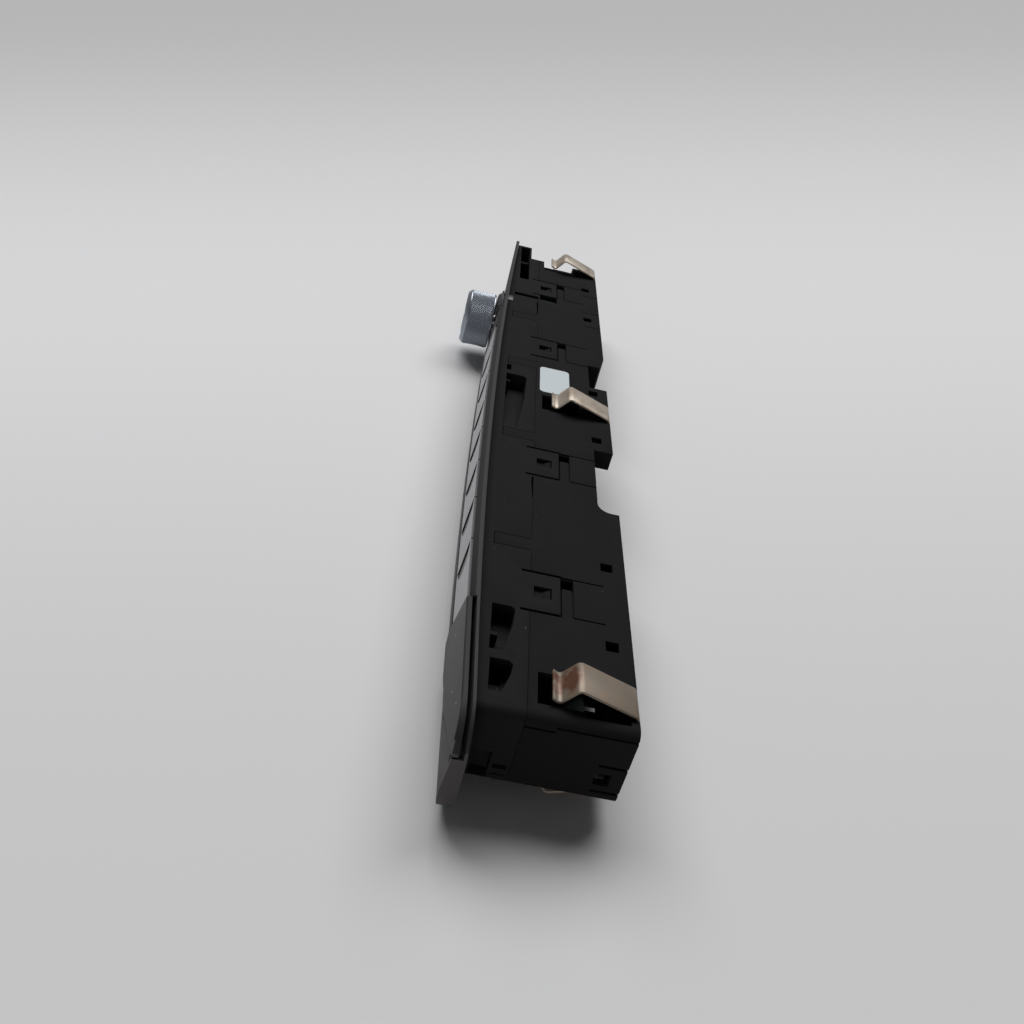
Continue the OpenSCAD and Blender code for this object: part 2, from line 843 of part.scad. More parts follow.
module front_carrier() {
  color([0.16, 0.16, 0.17])
    placed() {
      difference() {
        union() {
          carrier_shell();
          left_ear();
          end_liner();
          both_walls()
            for (c = core_outs)
              core_liner(c[0], c[1], c[2], c[3]);
        }
        ahead_of(-fascia_back + carrier_gap);
        both_walls() {
          for (c = core_outs)
            core_out(c[0], c[1], c[2], c[3], core_deep, c[4]);
          // Long opening at the left, on from the ear
          block([-half_l - cut, ear_wall_y, half_h - wall - cut],
                [-half_l + ear_slot_l, ear_y1 - ear_wall, half_h + cut]);
          block([small_hole_x, small_hole_y, half_h - small_hole_d],
                [small_hole_x + small_hole.x, small_hole_y + small_hole.y, half_h + cut]);
          // Slots for the rear cover's guide fingers
          for (x = guide_x)
            block([x - guide_w / 2 - 2 * fit_gap, seam_y - guide_l - 2 * fit_gap, half_h - wall - fit_gap],
                  [x + guide_w / 2 + 2 * fit_gap, seam_y + cut, half_h + cut]);
          block([groove_x, groove_y, half_h - groove_d], [groove_x + groove_l, seam_y + cut, half_h + cut]);
          tongue_slits();
          for (open = open_seams)
            block([open[0], seam_y - open_seam, half_h - wall - cut], [open[1], seam_y + cut, half_h + cut]);
        }
        stem_openings();
        pivot_opening();
        pivot_bar(pivot_d, pivot_boss_z0 - ear_gap - ear_h, pivot_boss_z1 + ear_gap + ear_h);
        end_cuts();
        fascia_pegs(run_gap);
        translate([knob_x, 0, knob_z])
          bar_y(bushing_d + 2 * fit_gap, -far_y, plate_y + plate_t + cut);
        // Seat for the knob's ring
        translate([knob_x, 0, knob_z])
          bar_y(ring_neck_d + 2 * fit_gap, -far_y, plate_y);
      }
      both_walls()
        for (r = core_ribs)
          block([r[0], r[2] - core_wall / 2, half_h - core_deep - core_wall / 2],
                [r[1], r[3], half_h - rib_drop]);
      both_walls()
        snap_tongues();
      difference() {
        pivot_ears(2 * pivot_boss_r);
        pivot_bar(pivot_d, -far_z / 2, far_z / 2);
      }
    }
}

// Round inner corner of the bay, and the slanted corner of the notch beside it
bay_corner_r = 4;
notch_slant = [8, 1.8];
// Width of the tool gap behind a tongue
tool_gap = 4.4;
// Window beside the left latch, and how far it lies behind the seam
side_window_x = -101;
side_window = [6.4, 7];
side_window_off = 0.8;
// The right clip's window is wider at its root, the left one's at its right
root_l = 12;
root_w = 1.9;
left_w = 1.2;
fine_line_t = 0.3;
// Window low in an end wall, the slits above and below it, and the line in two steps
end_window = [3.6, 3.5];
end_window_z = -5.3;
end_slits = [0.5, -7.3];
end_slit = 0.7;
step_y = seam_y + 7;
step_z = [half_h - 3.3, half_h - 2.1];
step_w = 0.6;

// Outer form of the rear cover, with its bays taken out
module cover_body() {
  bay_top = half_h - roof_h;
  difference() {
    upright(seam_y + fit_gap, housing_d)
      housing_outline();
    // Room inside
    upright(seam_y, bay_y - wall)
      inner_outline();
    difference() {
      upright(bay_y - wall - cut, housing_d - wall)
        inner_outline();
      block([notch_left - wall, 0, -far_z], [bay_right + wall, far_y, far_z]);
    }
    // Plug bay, open to the rear and below
    block([bay_left, bay_y, -far_z], [bay_right, housing_d + cut, bay_top]);
    block([bay_left + wall, bay_y, 0], [roof_right - wall, housing_d - wall, half_h - wall]);
    // Gap in the roof at the right of the bay, with a round inner corner
    translate([0, 0, -far_z / 2])
      linear_extrude(far_z)
        difference() {
          translate([roof_right, bay_y])
            square([bay_right - roof_right, bay_d + cut]);
          translate([bay_right, bay_y])
            mirror([1, 0])
              corner_bit(bay_corner_r);
        }
    // Notch at the left of the bay, with a slanted corner
    translate([0, 0, -far_z / 2])
      linear_extrude(far_z)
        polygon([[bay_left, bay_y], [bay_left, housing_d + cut],
                 [notch_left - notch_slant.x, housing_d + cut], [notch_left - notch_slant.x, housing_d],
                 [notch_left, housing_d - notch_slant.y], [notch_left, bay_y]]);
    // Opening for the connector
    block([socket_x - socket_w / 2 - fit_gap, bay_y - wall - cut, main_top - fit_gap],
          [socket_x + socket_w / 2 + fit_gap, bay_y + cut, main_top + socket_h + fit_gap]);
  }
}

// What is cut into one wall of the rear cover, for the clips at clip_x
module cover_wall_cuts(clip_x) {
  for (x = latch_x) {
    // Ledge under the snap tongue
    block([x - tongue_w / 2 - slit_w, seam_y - cut, half_h - tongue_t - fit_gap],
          [x + tongue_w / 2 + slit_w, seam_y + tongue_l + tip_gap, half_h + cut]);
    // Tool gap behind the tongue, and lines round the panel behind it
    block([x - tongue_w / 2, seam_y, half_h - wall - cut],
          [x - tongue_w / 2 + tool_gap, panel_y, half_h + cut]);
    block([x - tongue_w / 2, panel_y - line_w, half_h - line_t],
          [x + tongue_w / 2 + line_w, panel_y, half_h + cut]);
    block([x - tongue_w / 2 - line_w, seam_y, half_h - line_t],
          [x - tongue_w / 2, housing_d - bay_d, half_h + cut]);
    block([x + tongue_w / 2, panel_y - line_w, half_h - line_t],
          [x + tongue_w / 2 + line_w, housing_d - bay_d, half_h + cut]);
  }
  for (x = rear_window_x)
    block([x - rear_window.x / 2, rear_window_y, half_h - wall - cut],
          [x + rear_window.x / 2, rear_window_y + rear_window.y, half_h + cut]);
  block([side_window_x, seam_y + side_window_off, half_h - wall - cut],
        [side_window_x + side_window.x, seam_y + side_window_off + side_window.y, half_h + cut]);
  for (x = clip_x)
    block([x - clip_w / 2 - clip_side_gap, clip_window_y, half_h - wall - cut],
          [x + clip_w / 2 + clip_side_gap, clip_window_y + clip_window_l, half_h + cut]);
  block([clip_x[2], housing_d - root_l, half_h - wall - cut],
        [clip_x[2] + clip_w / 2 + root_w, housing_d - wall, half_h + cut]);
  // The left clip's window is open at the end
  block([-half_l - cut, clip_window_y, half_h - wall - cut],
        [clip_x[0] + clip_w / 2 + left_w, clip_window_y + clip_window_l, half_h + cut]);
  // Seats for the clips' legs in the rear wall
  for (x = clip_x)
    block([x - clip_w / 2 - fit_gap, housing_d - leg_recess, half_h - clip_leg - fit_gap],
          [x + clip_w / 2 + fit_gap, housing_d + cut, half_h + cut]);
  // Fine lines beside the left rear windows
  for (x = [rear_window_x[0] + fine_line_off, rear_window_x[1] - fine_line_off,
            rear_window_x[1] + fine_line_off])
    block([x - fine_line / 2, rear_window_y, half_h - fine_line_t],
          [x + fine_line / 2, housing_d + cut, half_h + cut]);
}

// Snap and lines on an end wall, drawn for the right end
module cover_end_cuts() {
  block([half_l - wall - cut, rear_window_y, end_window_z],
        [half_l + cut, rear_window_y + end_window.x, end_window_z + end_window.y]);
  for (z = end_slits)
    block([half_l - wall - cut, rear_window_y, z - end_slit / 2],
          [half_l + cut, housing_d + cut, z + end_slit / 2]);
  block([half_l - line_t, step_y, step_z[1]], [half_l + cut, housing_d + cut, step_z[1] + step_w]);
  block([half_l - line_t, seam_y, step_z[0]], [half_l + cut, step_y, step_z[0] + step_w]);
}

module guide_fingers() {
  for (x = guide_x)
    block([x - guide_w / 2, seam_y - guide_l, half_h - wall], [x + guide_w / 2, seam_y + cut, half_h]);
}

// Ramped nubs that catch in the tongues' windows
nub = 0.35;

module latch_nubs() {
  for (x = latch_x)
    along_x(x - latch_window.x / 2 + nub, x + latch_window.x / 2 - nub)
      polygon([[latch_window_y + latch_window.y / 2, half_h - tongue_t - 2 * fit_gap],
               [latch_window_y + latch_window.y / 2, half_h - tongue_t],
               [latch_window_y + latch_window.y - nub, half_h - rib_drop],
               [latch_window_y + latch_window.y - nub, half_h - tongue_t - 2 * fit_gap]]);
}

module board_bosses() {
  for (x = screw_x)
    translate([x, screw_y, -inner_half_h - boss_root])
      difference() {
        cylinder(h = main_board_lift + boss_root, d = boss_d);
        translate([0, 0, 2 * boss_root])
          cylinder(h = far_z, d = screw_d + 2 * run_gap);
      }
}

module rear_cover() {
  color([0.15, 0.15, 0.16])
    placed() {
      difference() {
        cover_body();
        cover_wall_cuts(clips_above);
        mirror([0, 0, 1])
          cover_wall_cuts(clips_below);
        cover_end_cuts();
        mirror([1, 0, 0])
          cover_end_cuts();
      }
      both_walls() {
        guide_fingers();
        latch_nubs();
      }
      board_bosses();
    }
}

// Hollow at the left edge of a key, deepest where it meets the next key
module key_hollow() {
  x0 = -key_pitch / 2 - key_shift;
  x1 = x0 + groove_w + cut;
  intersection() {
    upright(-far_y, far_y)
      translate([x0 + groove_w - leaf_r, key_mid_z])
        circle(leaf_r);
    translate([0, -key_mid_front, key_mid_z])
      rotate([-front_tilt, 0, 0])
        translate([0, 0, -far_z / 2])
          linear_extrude(far_z)
            polygon([[x0, -far_y / 4], [x0, groove_t], [x1, groove_step], [x1, -far_y / 4]]);
  }
}

// Front outline of a key, drawn about the middle of its stem. The last key's
// right edge slants.
module key_outline(index) {
  left = -key_pitch / 2 + key_gap / 2 - (index > 1 ? key_shift : 0);
  straight = key_pitch / 2 - key_shift - key_gap / 2;
  last = key_pitch / 2 - key_end_x;
  right = index < key_count ? [straight, straight] : [last + key_edge(key_low), last + key_edge(key_top)];
  polygon([[left, key_low], [right[0], key_low], [right[1], key_top], [left, key_top]]);
}

// A key is drawn about the middle of its stem, at the crown of the bow
module key(index) {
  mid = keys_x0 + (index - 0.5) * key_pitch;
  color([0.78, 0.78, 0.8])
    placed()
      on_bow(mid) {
        difference() {
          intersection() {
            along_x(-key_pitch, key_pitch)
              front_section(key_proud, top_bevel, top_bevel_d);
            upright(-far_y, -cap_back)
              key_outline(index);
          }
          if (index > 1)
            key_hollow();
          difference() {
            block([-key_pitch / 2 + key_skin, groove_t + key_skin - key_mid_front, key_low + key_skin],
                  [key_pitch / 2 - key_shift - key_gap / 2 - key_skin, far_y, key_top - key_skin]);
            block([-stem_w / 2, -far_y, stem_z - stem_h / 2], [stem_w / 2, far_y, stem_z + stem_h / 2]);
          }
        }
        block([-stem_w / 2, -cap_back - cut, stem_z - stem_h / 2],
              [stem_w / 2, stem_end - bow(mid), stem_z + stem_h / 2]);
      }
}

// Part of the rocker with the outline raised by facet, proud of the fascia
module rocker_layer(facet, proud) {
  intersection() {
    upright(-far_y, -rocker_back)
      translate([-rocker_mid, 0])
        rocker_outline(0, facet);
    along_x(-rocker_mid, rocker_mid)
      front_section(proud, rocker_bevel, rocker_bevel);
    translate([rocker_crown_x - rocker_mid, rocker_crown_r - front_low - proud, -far_z / 2])
      cylinder(h = far_z, r = rocker_crown_r, $fn = 256);
  }
}

// The rocker is drawn about its pivot, at the crown of the bow
module rocker() {
  color([0.42, 0.41, 0.41])
    placed()
      on_bow(rocker_mid) {
        rocker_layer(0, rocker_proud - rocker_step);
        rocker_layer(rocker_facet, rocker_proud);
        // Boss that turns on the pin
        difference() {
          union() {
            translate([0, pivot_y, pivot_boss_z0])
              cylinder(h = pivot_boss_z1 - pivot_boss_z0, r = pivot_boss_r);
            block([-pivot_boss_r, -rocker_back - boss_root, pivot_boss_z0],
                  [pivot_boss_r, pivot_y, pivot_boss_z1]);
          }
          translate([0, pivot_y, -far_z / 2])
            cylinder(h = far_z, d = pivot_d + 2 * run_gap);
        }
        for (side = [-1, 1])
          translate([side * plunger_arm, 0, stem_z])
            block([-plunger_w / 2, -rocker_back - boss_root, -stem_h / 2],
                  [plunger_w / 2, stem_end - plunger_gap - bow(rocker_mid), stem_h / 2]);
      }
}

module rocker_pin() {
  color([0.7, 0.7, 0.72])
    placed()
      pivot_bar(pivot_d, pivot_boss_z0 - ear_gap - ear_h, pivot_boss_z1 + ear_gap + ear_h);
}

// Turns a section drawn as [radius, depth behind the datum] about the knob's axis
module turned() {
  translate([knob_x, 0, knob_z])
    rotate([-90, 0, 0])
      rotate_extrude($fn = 96)
        children();
}

module knob_ring() {
  bore = bushing_d / 2 + ring_bore_gap;
  color([0.07, 0.07, 0.08])
    placed()
      turned()
        polygon([[bore, plate_y], [bore, -ring_front + ring_dish],
                 [bore + ring_step, -ring_front + ring_dish],
                 [knob_d / 2 - 1.4, -ring_front + 0.5], [knob_d / 2 - 0.9, -ring_front],
                 [knob_d / 2 + 0.2, -ring_front], [knob_d / 2 + 0.9, -ring_front + ring_dish],
                 [ring_d / 2 - 0.3, -ring_back - 0.5], [ring_d / 2, -ring_back - 0.2],
                 [ring_d / 2, -ring_back], [ring_neck_d / 2, -ring_back],
                 [ring_neck_d / 2, plate_y]]);
}

// Star outline of the fluted grip
function flutes(r, count, deep) = [for (i = [0 : 2 * count - 1])
  let (a = 180 * i / count, q = i % 2 == 0 ? r : r - deep)
  [q * cos(a), q * sin(a)]];

module knob_sleeve() {
  grip_front = knob_front - sleeve_round;
  color([0.72, 0.74, 0.77])
    placed()
      difference() {
        union() {
          translate([knob_x, 0, knob_z])
            rotate([90, 0, 0])
              translate([0, 0, knob_back + sleeve_rim])
                linear_extrude(grip_front - knob_back - sleeve_rim)
                  polygon(flutes(knob_d / 2, flute_count, flute_t));
          turned()
            polygon([[0, -grip_front], [knob_d / 2 - 0.3, -grip_front],
                     [knob_d / 2 - 0.3, -grip_front - 0.3], [knob_d / 2 - 1.3, -knob_front + 0.2],
                     [knob_d / 2 - 1.6, -knob_front], [0, -knob_front]]);
          turned()
            polygon([[0, -knob_back - sleeve_rim], [knob_d / 2 - 0.3, -knob_back - sleeve_rim],
                     [knob_d / 2 - 0.6, -knob_back], [0, -knob_back]]);
        }
        translate([knob_x, 0, knob_z]) {
          bar_y(hub_d, -knob_front + cap_t, far_y);
          bar_y(hub_d - 2 * sleeve_lip, -far_y, far_y);
        }
      }
}

module knob_cap() {
  color([0.2, 0.2, 0.21])
    placed()
      turned()
        polygon([[0, -knob_front + cap_t], [0, -knob_front + 0.5], [3, -knob_front + 0.5],
                 [hub_d / 2 - sleeve_lip - 1, -knob_front + 0.2],
                 [hub_d / 2 - sleeve_lip - fit_gap, -knob_front + 0.4],
                 [hub_d / 2 - sleeve_lip - fit_gap, -knob_front + cap_t]]);
}

// The D-shaped end of the shaft, or the bore for it
module shaft_end_shape(d, y0, y1) {
  intersection() {
    bar_y(d, y0, y1);
    block([-d, y0 - cut, -d], [d, y1 + cut, d * shaft_flat]);
  }
}

module knob_hub() {
  color([0.12, 0.12, 0.13])
    placed()
      difference() {
        turned()
          polygon([[0, -knob_front + cap_t], [hub_d / 2, -knob_front + cap_t],
                   [hub_d / 2, -knob_back], [hub_d / 2 - hub_wall, -knob_back],
                   [hub_d / 2 - hub_wall, -knob_front + cap_t + hub_web],
                   [hub_core_r, -knob_front + cap_t + hub_web],
                   [hub_core_r, -knob_back - hub_core_end], [0, -knob_back - hub_core_end]]);
        translate([knob_x, 0, knob_z])
          shaft_end_shape(shaft_d + run_gap, -shaft_front - fit_gap, far_y);
      }
}

module encoder_shaft() {
  color([0.75, 0.75, 0.76])
    placed()
      translate([knob_x, 0, knob_z]) {
        shaft_end_shape(shaft_d, -shaft_front, -knob_back - shaft_flat_end);
        bar_y(shaft_d, -knob_back - shaft_flat_end, shaft_end);
        bar_y(nose_d, shaft_end - cut, shaft_end + nose_l);
      }
}

module encoder_plunger() {
  color([0.9, 0.9, 0.88])
    placed()
      translate([knob_x, 0, knob_z])
        difference() {
          bar_y(plunger_d, plunger_front, plunger_front + plunger_t);
          bar_y(nose_d + 2 * run_gap, plunger_front - cut, shaft_end + nose_l + 0.05);
        }
}

module encoder_body() {
  color([0.55, 0.56, 0.58])
    placed()
      translate([knob_x, 0, knob_z])
        difference() {
          union() {
            block([-encoder_w / 2, encoder_front, -encoder_h / 2],
                  [encoder_w / 2, key_board_y, encoder_h / 2]);
            bar_y(bushing_d, bushing_front, encoder_front + cut);
          }
          bar_y(shaft_d + 2 * run_gap, -far_y, plunger_front);
          bar_y(chamber_d, plunger_front - 0.1, chamber_end);
        }
}

module switch_mat() {
  color([0.85, 0.85, 0.82])
    placed() {
      block([keys_x0, key_board_y - mat_t, mat_low],
            [rocker_mid + plunger_arm + dome_base_d / 2 + mat_margin, key_board_y, mat_high]);
      for (i = [0 : key_count - 1])
        translate([keys_x0 + (i + 0.5) * key_pitch, 0, stem_z])
          dome();
      for (side = [-1, 1])
        translate([rocker_mid + side * plunger_arm, 0, stem_z])
          dome();
    }
}

// A rubber dome on the mat, facing forward
module dome() {
  translate([0, key_board_y - mat_t + 0.2, 0])
    rotate([90, 0, 0])
      cylinder(h = dome_h + 0.2, d1 = dome_base_d, d2 = dome_tip_d);
}

module key_board() {
  color([0.1, 0.35, 0.2])
    placed()
      upright(key_board_y, key_board_y + board_t)
        even_rect(-inner_half_l + 0.3, inner_half_l - 0.3, -inner_half_h + 0.3, inner_half_h - 0.3, 1);
}

module main_board() {
  color([0.1, 0.38, 0.22])
    placed()
      difference() {
        translate([0, 0, main_board_z])
          linear_extrude(board_t)
            even_rect(-inner_half_l + 0.3, inner_half_l - 0.3, main_board_y0, main_board_y1, 1);
        for (x = screw_x)
          translate([x, screw_y, main_board_z - cut])
            cylinder(h = board_t + 2 * cut, d = screw_d + 2 * run_gap);
      }
}

module board_link() {
  color([0.08, 0.08, 0.08])
    placed()
      block([link_x0, key_board_y + board_t, main_top],
            [link_x0 + link_l, key_board_y + board_t + link_d, main_top + link_h]);
}

module board_screws() {
  color([0.6, 0.6, 0.62])
    placed()
      for (x = screw_x)
        translate([x, screw_y, main_top]) {
          cylinder(h = screw_head_t, d = screw_head_d);
          translate([0, 0, -board_t - main_board_lift + wall])
            cylinder(h = board_t + main_board_lift - wall / 2, d = screw_d);
        }
}

// Right-angle pins in two rows, each with a leg down to the board
module pin_grid(gap) {
  half_w = pin_w / 2 + gap;
  for (row = [0, 1])
    for (i = [0 : pin_cols - 1])
      translate([socket_x + (i - (pin_cols - 1) / 2) * pin_pitch, 0, pin_rows[row]]) {
        leg_y = pin_y0 + pin_step * (1 - row);
        block([-half_w, leg_y, -half_w], [half_w, pin_y1, half_w]);
        block([-half_w, leg_y, main_top - pin_rows[row]], [half_w, leg_y + 2 * half_w, 0]);
      }
}

module connector_socket() {
  x0 = socket_x - socket_w / 2;
  x1 = socket_x + socket_w / 2;
  color([0.1, 0.1, 0.1])
    placed()
      difference() {
        block([x0, socket_y0, main_top], [x1, bay_y, main_top + socket_h]);
        block([x0 + socket_wall, socket_y0 + socket_floor, main_top + socket_wall],
              [x1 - socket_wall, bay_y + cut, main_top + socket_h - socket_wall]);
        // Keyway for the plug's latch
        block([socket_x - keyway_w / 2, bay_y - keyway_d, main_top + socket_h - socket_wall - cut],
              [socket_x + keyway_w / 2, bay_y + cut, main_top + socket_h - keyway_skin]);
        pin_grid(run_gap);
      }
}

module connector_pins() {
  color([0.8, 0.7, 0.4])
    placed()
      pin_grid(0);
}

function unit(v) = v / norm(v);

// The corner at p between a and b, as points on an arc of radius r
function bend(a, p, b, r) =
  let (u = unit(a - p), w = unit(b - p), half = acos(u * w) / 2,
       middle = p + unit(u + w) * r / sin(half),
       from = p + u * r / tan(half) - middle, to = p + w * r / tan(half) - middle,
       start = atan2(from.y, from.x), raw = atan2(to.y, to.x) - start,
       turn = raw > 180 ? raw - 360 : raw < -180 ? raw + 360 : raw)
  [for (i = [0 : bend_steps])
    let (a = start + turn * i / bend_steps)
    middle + r * [cos(a), sin(a)]];

// A line of points with each corner rounded
function bent_line(points, r) =
  let (last = len(points) - 1)
  concat([points[0]],
         [for (i = [1 : last - 1]) each bend(points[i - 1], points[i], points[i + 1], r)],
         [points[last]]);

// The line moved sideways by d, with mitred corners
function beside(line, d) =
  let (last = len(line) - 1)
  [for (i = [0 : last])
    let (before = unit(line[max(i, 1)] - line[max(i, 1) - 1]),
         after = unit(line[min(i, last - 1) + 1] - line[min(i, last - 1)]),
         side = [-before.y - after.y, before.x + after.x])
    line[i] + d * side / (1 + before * after)];

// A strip of thickness t, bent along a line of [y, z] points
module bent_strip(points, t, r) {
  line = bent_line(points, r);
  far_side = beside(line, -t / 2);
  polygon(concat(beside(line, t / 2), [for (i = [len(line) - 1 : -1 : 0]) far_side[i]]));
}

// A spring clip hooked over the rear wall, with its peak above the wall
module spring_clip(x) {
  leg_y = housing_d - clip_t / 2;
  color([0.78, 0.74, 0.68])
    along_x(x - clip_w / 2, x + clip_w / 2)
      bent_strip([[leg_y, half_h - clip_leg],
                  [leg_y, half_h + clip_t / 2 + clip_lift],
                  [housing_d - clip_peak, half_h + clip_rise - clip_t / 2 + clip_lift],
                  [housing_d - clip_tip + clip_curl, half_h + clip_valley + clip_lift],
                  [housing_d - clip_tip, half_h + clip_valley + clip_curl_h + clip_lift]],
                 clip_t, clip_bend_r);
}

module clip_on_top(x) {
  placed()
    spring_clip(x);
}

module clip_below(x) {
  placed()
    mirror([0, 0, 1])
      spring_clip(x);
}

module label() {
  color([0.88, 0.9, 0.93])
    placed()
      translate([label_mid.x, label_mid.y, half_h])
        linear_extrude(label_t)
          even_rect(-label_size.x / 2, label_size.x / 2, -label_size.y / 2, label_size.y / 2, 1.5);
}

fascia();
key_frame();
front_carrier();
rear_cover();
key(1);  // key_1
key(2);  // key_2
key(3);  // key_3
key(4);  // key_4
key(5);  // key_5
key(6);  // key_6
key(7);  // key_7
key(8);  // key_8
rocker();
rocker_pin();
knob_ring();
knob_sleeve();
knob_cap();
knob_hub();
encoder_shaft();
encoder_plunger();
encoder_body();
switch_mat();
key_board();
main_board();
board_link();
board_screws();
connector_socket();
connector_pins();
clip_on_top(clips_above[0]);  // clip_top_left
clip_on_top(clips_above[1]);  // clip_top_middle
clip_on_top(clips_above[2]);  // clip_top_right
clip_below(clips_below[0]);  // clip_bottom_left
clip_below(clips_below[1]);  // clip_bottom_middle
clip_below(clips_below[2]);  // clip_bottom_right
label();
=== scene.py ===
"""Dashboard switch panel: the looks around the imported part.

The panel stands on its lower edge, with its knob at the far end and its
rocker towards the camera. Every size is in metres unless its name ends in
_mm, and every place is in the part's own frame: +X along the fascia, +Y into
the dashboard and +Z up.
"""

import logging
import math
from dataclasses import dataclass, field
from enum import Enum
from typing import Callable, Iterable, Sequence

import bmesh
import bpy
from mathutils import Matrix, Vector


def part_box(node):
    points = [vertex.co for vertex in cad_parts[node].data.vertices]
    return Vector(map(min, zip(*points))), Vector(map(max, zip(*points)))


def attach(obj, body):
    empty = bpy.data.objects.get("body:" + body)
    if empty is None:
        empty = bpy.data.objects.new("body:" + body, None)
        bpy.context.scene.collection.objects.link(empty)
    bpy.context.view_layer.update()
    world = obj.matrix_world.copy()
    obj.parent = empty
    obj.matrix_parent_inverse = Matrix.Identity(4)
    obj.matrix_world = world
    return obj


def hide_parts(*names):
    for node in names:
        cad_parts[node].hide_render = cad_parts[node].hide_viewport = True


MM = 0.001

Colour = tuple[int, int, int]
Point = tuple[float, float, float]
Face = bmesh.types.BMFace | bpy.types.MeshPolygon

log = logging.getLogger("switch_panel")
logging.basicConfig(level=logging.INFO, format="%(name)s: %(message)s")

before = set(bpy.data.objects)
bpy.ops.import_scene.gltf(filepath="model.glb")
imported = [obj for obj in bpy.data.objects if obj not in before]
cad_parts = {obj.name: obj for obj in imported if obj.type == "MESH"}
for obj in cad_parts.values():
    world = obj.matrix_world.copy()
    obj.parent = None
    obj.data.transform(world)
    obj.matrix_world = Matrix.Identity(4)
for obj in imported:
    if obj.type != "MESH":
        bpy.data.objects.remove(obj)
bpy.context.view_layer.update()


# Colours and finishes


def linear(red: float, green: float, blue: float) -> tuple[float, float, float, float]:
    """Turns a colour as seen, 0 to 255, into the renderer's linear values.

    Args:
        red: Red, 0 to 255.
        green: Green, 0 to 255.
        blue: Blue, 0 to 255.

    Returns:
        The colour as linear red, green, blue and alpha.
    """

    def channel(value: float) -> float:
        """One channel's linear value."""
        share = value / 255
        return share / 12.92 if share <= 0.04045 else ((share + 0.055) / 1.055) ** 2.4

    return channel(red), channel(green), channel(blue), 1.0


@dataclass(frozen=True)
class Patches:
    """A noise pattern of which only the upper levels are kept."""

    size_mm: float
    detail: float
    # Level at which a patch starts, and from which on it is full
    low: float
    high: float


# Pale specks, and the wider fields in which they lie
DUST_SPECKS = Patches(0.9, 2.0, low=0.72, high=0.78)
DUST_FIELDS = Patches(14.0, 1.0, low=0.5, high=0.65)
DUST_STRENGTH = 0.35
TARNISH_CLOUDS = Patches(5.0, 4.0, low=0.42, high=0.72)
# A stain's ragged rim, and the share of its radius within which it is full
STAIN_RIM = Patches(2.5, 4.0, low=0.3, high=0.5)
STAIN_CORE = 0.4
# Width of the patches in which the shine varies
SHINE_MM = 9.0
GRAIN_STRENGTH = 0.6
COAT_ROUGHNESS = 0.25


